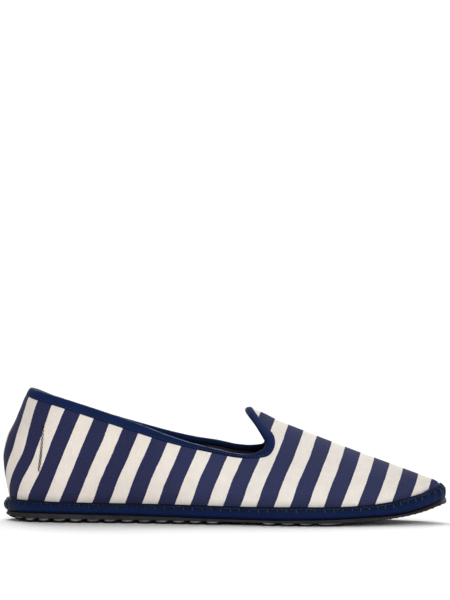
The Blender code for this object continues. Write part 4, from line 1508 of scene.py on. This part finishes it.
# ---------------------------------------------------------------- the tread sole
SLAB_SECTION = (
    # extra inset, from the underside, from the top, share of the reach at the tip, share of the lip
    (3.2,  0.0,  None, 0.0,  0.0),
    (2.4,  0.0,  None, 0.0,  0.0),
    (1.7,  0.0,  None, 0.0,  0.0),
    (0.75, 0.0,  None, 0.6,  0.0),
    (0.35, 0.12, None, 1.0,  0.0),
    (0.10, 0.40, None, 1.1,  0.0),
    (0.0,  None, 0.55, 0.7,  0.4),
    (0.08, None, 0.25, -0.3, 1.0),
    (0.40, None, 0.0,  -0.6, 1.0),
    (0.62, None, 0.0,  -0.6, 0.0),
    (2.4,  None, 0.0,  0.0,  0.0),
)
RIM_FADE = (2.4, 1.4)      # extra insets between which the rim's drop fades in
TIP_START = 252.0          # the tip stands out and up in front of this place
LUG_CUTS = (
    # share, axis: three cuts along the lug and two up its height
    (0.25, 0),
    (0.5, 0),
    (0.75, 0),
    (SHOULDER[0], 2),
    (SHOULDER[1], 2),
)
SLAB_TONE = 0.4            # tone of the slab and the lugs' upper parts; a shoulder's is 1, pale partly from wear and partly as a painted highlight, and the lugs' lower faces, in painted shade, are 0
EDGE_ROW = 2.0             # rows of lugs that begin nearer the sole's edge than this have shoulders
LUG_ROUNDING = 0.3         # width of the lugs' moulded edges
ROUNDED_FROM, LUG_SHARP_FROM, SLAB_SHARP_FROM = (math.radians(turn) for turn in (50.0, 38.0, 35.0))


def outsole_inset(extra):
    """How far the flat sole's edge lies inside the sole's outline, at each station."""
    x = SIDES[0][0][:, 0]
    return OUTSOLE_INSET - OUTSOLE_TOE_REACH * (x / LENGTH)**4 + extra


def slab_rings():
    """Closed rings of the flat sole; its rim hangs a little lower, and its tip stands out and up."""
    rings = []
    for extra, lift, drop, reach, lip in SLAB_SECTION:
        loop = edge_loop(outsole_inset(extra))
        x = loop[:, 0]
        if drop is None:
            varied = 0.14 * smooth_step(x, 200.0, 220.0) * (np.sin(x * 1.7) + np.sin(x * 2.9 + 1.0))
            fall = (column(RIM_DROPS, 1, x) + varied) * smooth_step(extra, *RIM_FADE)
            z = slab_bottom(x) + lift - fall - column(EDGE_SAG, 1, x)
        else:
            z = ribbon_bottom(x) - GAP - drop + lip * column(TOE_LIP, 1, x) - column(EDGE_SAG, 2, x)
        tip = TOE_REACH * reach * smooth_step(x, TIP_START, LENGTH)
        rings.append(np.column_stack([x + tip, loop[:, 1], z]))
    return np.array(rings)


class SLIPPER_OT_tread_sole(bpy.types.Operator):
    """Makes the rubber sole with its lugs"""
    bl_idname = "slipper.tread_sole"
    bl_label = "Tread sole"

    def execute(self, context):
        settings = context.scene.slipper_sole
        rings = slab_rings()
        slab = new_piece("tread_sole", rings.reshape(-1, 3), ring_faces(rings))
        wear = slab.data.attributes.new("wear", "FLOAT", "FACE")
        wear.data.foreach_set("value", np.full(len(slab.data.polygons), SLAB_TONE))
        slab.data.set_sharp_from_angle(angle=SLAB_SHARP_FROM)
        select_only(slab, make_lugs())
        bpy.ops.object.join()
        slab.select_set(False)
        finish_piece(slab, rubber_material(settings), "tread_rubber", "outsole")
        return {"FINISHED"}


def plain_lug():
    """A unit cube cut across where a lug bends: the first lug, from which all are copied."""
    bpy.ops.object.select_all(action="DESELECT")
    bpy.ops.mesh.primitive_cube_add(size=1.0)
    lug = bpy.context.active_object
    lug.name = "lug"
    bpy.ops.object.mode_set(mode="EDIT")
    for place, axis in LUG_CUTS:
        level = [0.0, 0.0, 0.0]
        level[axis] = 1.0
        bpy.ops.mesh.select_all(action="SELECT")
        bpy.ops.mesh.bisect(plane_co=[(place - 0.5) * part for part in level], plane_no=level)
    bpy.ops.object.mode_set(mode="OBJECT")
    # Each face's tone: the outer shoulder is pale, partly from wear and partly as a painted highlight, the
    # faces below it are near-black as painted shade, and those above take the slab's tone.
    wear = lug.data.attributes.new("wear", "FLOAT", "FACE")
    for face in lug.data.polygons:
        _, across, up = face.center
        shoulder = SHOULDER[0] < up + 0.5 < SHOULDER[1] and across < -0.4
        upper = up + 0.5 > SHOULDER[1]
        wear.data[face.index].value = 1.0 if shoulder else SLAB_TONE if upper else 0.0
    return lug


def make_lugs():
    """Copies the lug along its rows on both sides and gives all of them moulded edges."""
    first_lug = plain_lug()
    # Shares along, across and up the lug.  Its shoulder bulges outwards in the middle of the lug's
    # length, starts lower down at both ends of it, and leans forwards towards the top.
    u, v, w = (read_vertices(first_lug.data) + 0.5).T
    arch, outer_end = 4 * u * (1 - u), v < 0.5
    bend = arch * np.interp(w, (0.0, *SHOULDER, 1.0), (0.5, 1.0, 0.0, 0.0)) * outer_end
    fall = 0.8 * (SHOULDER[1] - SHOULDER[0]) * (1 - arch) * (np.abs(w - SHOULDER[0]) < 0.01) * outer_end
    lean = LUG_LEAN * (w - 0.5) * outer_end
    most, begin, power = HEEL_CURVE
    copies = []
    for side in (0, 1):
        edge, inwards = SIDES[side]
        along = lengths_along(edge)
        for notch, pitch, count, outer, inner, slant in LUG_ROWS:
            for k in range(count):
                place = notch + pitch * (k + (1 - LUG_SHARE) / 2 + LUG_SHARE * u) + slant * v + lean
                inset = outer + (inner - outer) * v - SHOULDER_REACH * bend * (outer < EDGE_ROW)
                plan = read_at(place, along, edge) + inset[:, None] * read_at(place, along, inwards)
                x = plan[:, 0]
                behind = np.clip((begin - x) / (begin - HEEL_TIP[0]), 0.0, None)
                low = np.maximum(floor_height(x), most * behind**power)
                high = slab_bottom(x) + LUG_ROOT
                placed = to_world(np.column_stack([plan, low + (high - low) * (w + fall)]))
                copy = bpy.data.objects.new("lug", first_lug.data.copy())
                copy.data.vertices.foreach_set("co", placed.ravel())
                bpy.context.scene.collection.objects.link(copy)
                copies.append(copy)
    bpy.data.objects.remove(first_lug)
    select_only(*copies)
    lugs = copies[0]
    bpy.ops.object.join()
    bpy.ops.object.mode_set(mode="EDIT")
    bpy.ops.mesh.select_all(action="SELECT")
    bpy.ops.mesh.normals_make_consistent(inside=False)
    bpy.ops.object.mode_set(mode="OBJECT")
    moulded = lugs.modifiers.new("moulded edge", "BEVEL")
    moulded.width = LUG_ROUNDING * MM
    moulded.segments = 1
    moulded.angle_limit = ROUNDED_FROM
    apply_modifiers(lugs)
    lugs.data.shade_smooth()
    lugs.data.set_sharp_from_angle(angle=LUG_SHARP_FROM)
    return lugs


def rubber_material(settings):
    """Vulcanised tread rubber: lugs whose lower faces are near-black with painted shade, a dull grey
    slab above them, shoulders pale partly from scuffing and partly as a painted highlight, a fine
    moulded grain, and a rusty cast low at the toe."""
    made, tree, shader = new_material("vulcanised tread rubber", 0.7, 0.14)
    add = partial(add_node, tree)
    place = add("TexCoord").outputs["Object"]
    grain = add("TexNoise", {"Vector": place, "Scale": 1400.0, "Detail": 2.0})
    dust = add("TexNoise", {"Vector": place, "Scale": 150.0, "Detail": 4.0})
    # The tone mask is 1 on the lugs' shoulders, pale partly from wear and partly as a painted highlight where
    # they catch the light, and 0 on the lugs' lower faces, near-black as painted shade; dust makes it uneven.
    wear = add("Attribute", attribute_name="wear").outputs["Fac"]
    uneven = add("MapRange", {"Value": dust, FROM: (0.3, 0.7), TO: (0.55, 1.1)})
    varied = add("Math", {0: wear, 1: uneven}, operation="MULTIPLY")
    tone = add("ValToRGB", {"Fac": varied}, stops=(
        (0.0, "#0F0F11"), (0.22, "#242327"), (0.42, "#312F33"), (0.6, "#484749"), (1.0, "#7A7A78")))
    x = add("SeparateXYZ", {0: place}).outputs[0]
    ahead = add("MapRange", {"Value": x, FROM: (0.098, 0.118)})
    rusty = add("Mix", {"Factor": uneven, "A": linear("#0C0808"), "B": settings.cast}, **COLOUR)
    lightened = add("MapRange", {"Value": x, FROM: (0.1285, 0.1325)})
    rusty = add("Mix", {"Factor": lightened, "A": rusty, "B": linear("#5E5760")}, **COLOUR)
    cast = add("Mix", {"Factor": ahead, "A": tone, "B": rusty}, **COLOUR)
    # Darker towards the back of the heel.
    heel_darkening = add("MapRange", {"Value": x, FROM: (-0.128, -0.112), "To Min": 0.3})
    darkened = add("Mix", {"Factor": 1.0, "A": cast, "B": heel_darkening}, **TINT)
    bump = add("Bump", {"Height": grain, "Strength": 0.35, "Distance": 0.1 * MM})
    feed(tree, shader, {"Base Color": darkened, "Normal": bump})
    return made


# ---------------------------------------------------------------- the stage
LAMPS = (
    # name, strength setting, spread, tilt back from straight down, turn (degrees)
    ("softbox behind", "back", 44.0, -36.0, 6.0),
    ("low softbox behind", "low", 44.0, -64.0, 6.0),
    ("fill in front", "fill", 50.0, 66.0, 10.0),
)
ROOM_GLOW = (0.12, 0.5)    # heights of a direction between which the room's light falls off
CAMERA_PLACE = (131.0, -2100.0, 132.03)   # in the tables' own millimetres


def soft_light(name, energy, spread, tilt, turn):
    """A large soft lamp far away, tipped back from straight down and turned, in degrees."""
    lamp = bpy.data.lights.new(name, "SUN")
    lamp.energy = energy
    lamp.angle = math.radians(spread)
    made = bpy.data.objects.new(name, lamp)
    made.rotation_euler = (math.radians(tilt), 0.0, math.radians(turn))
    bpy.context.scene.collection.objects.link(made)


def paper_material(settings):
    """Matt studio paper, white, with a fine tooth."""
    made, tree, shader = new_material("matt studio paper", 0.9, 0.0)
    add = partial(add_node, tree)
    place = add("TexCoord").outputs["Object"]
    tooth = add("TexNoise", {"Vector": place, "Scale": 900.0})
    shade = add("Mix", {"Factor": tooth, "A": settings.floor, "B": linear("#FAFAFA")}, **COLOUR)
    feed(tree, shader, {"Base Color": shade})
    return made


def studio_room(settings):
    """A white room whose light falls off towards its ceiling."""
    world = bpy.data.worlds.new("studio room")
    world.use_nodes = True
    tree = world.node_tree
    upwards = add_node(tree, "SeparateXYZ", {0: add_node(tree, "TexCoord").outputs["Generated"]}).outputs[2]
    fall = add_node(tree, "MapRange", {"Value": upwards, FROM: ROOM_GLOW, TO: (1.0, settings.ceiling)})
    feed(tree, tree.nodes["Background"], {"Color": linear("#FFFFFF"), "Strength": fall})
    return world


class SLIPPER_OT_stage(bpy.types.Operator):
    """Sets up the floor, the soft light and the camera"""
    bl_idname = "slipper.stage"
    bl_label = "Stage"

    def execute(self, context):
        settings = context.scene.slipper_stage
        scene = context.scene
        bpy.ops.object.select_all(action="DESELECT")
        bpy.ops.mesh.primitive_plane_add(size=30.0)
        floor = bpy.context.active_object
        floor.name = "floor"
        floor.data.materials.append(paper_material(settings))
        scene.world = studio_room(settings)
        for name, strength, spread, tilt, turn in LAMPS:
            soft_light(name, getattr(settings, strength), spread, tilt, turn)
        camera_data = bpy.data.cameras.new("camera")
        camera_data.sensor_width = 36.0
        camera_data.lens = settings.lens
        camera_data.clip_end = 60.0
        camera = bpy.data.objects.new("camera", camera_data)
        camera.location = to_world(CAMERA_PLACE).tolist()
        camera.rotation_euler = (math.radians(90.0), -settings.roll, 0.0)
        scene.collection.objects.link(camera)
        scene.camera = camera
        scene.view_settings.view_transform = "Standard"
        return {"FINISHED"}


# ---------------------------------------------------------------- the panel
OPERATORS = (
    SLIPPER_OT_canvas_upper,
    SLIPPER_OT_collar_ribbon,
    SLIPPER_OT_collar_stitches,
    SLIPPER_OT_bound_edge,
    SLIPPER_OT_edge_stitches,
    SLIPPER_OT_heel_seam,
    SLIPPER_OT_sock,
    SLIPPER_OT_tread_sole,
    SLIPPER_OT_stage,
)


class SLIPPER_PT_panel(bpy.types.Panel):
    """Lists the settings and the pieces of the slipper"""
    bl_idname = "SLIPPER_PT_panel"
    bl_label = "Slipper"
    bl_space_type = "VIEW_3D"
    bl_region_type = "UI"
    bl_category = "Slipper"

    def draw(self, context):
        for name, group in SETTINGS:
            box = self.layout.box()
            for key in group.__annotations__:
                box.prop(getattr(context.scene, name), key)
        for operator in OPERATORS:
            self.layout.operator(operator.bl_idname)


def register():
    for name, group in SETTINGS:
        bpy.utils.register_class(group)
        setattr(bpy.types.Scene, name, PointerProperty(type=group))
    for operator in OPERATORS:
        bpy.utils.register_class(operator)
    bpy.utils.register_class(SLIPPER_PT_panel)


def unregister():
    bpy.utils.unregister_class(SLIPPER_PT_panel)
    for operator in reversed(OPERATORS):
        bpy.utils.unregister_class(operator)
    for name, group in reversed(SETTINGS):
        delattr(bpy.types.Scene, name)
        bpy.utils.unregister_class(group)


def main():
    register()
    bpy.ops.slipper.canvas_upper()
    bpy.ops.slipper.collar_ribbon()
    bpy.ops.slipper.collar_stitches()
    bpy.ops.slipper.bound_edge()
    bpy.ops.slipper.edge_stitches()
    bpy.ops.slipper.heel_seam()
    bpy.ops.slipper.sock()
    bpy.ops.slipper.tread_sole()
    bpy.ops.slipper.stage()


if __name__ == "__main__":
    main()
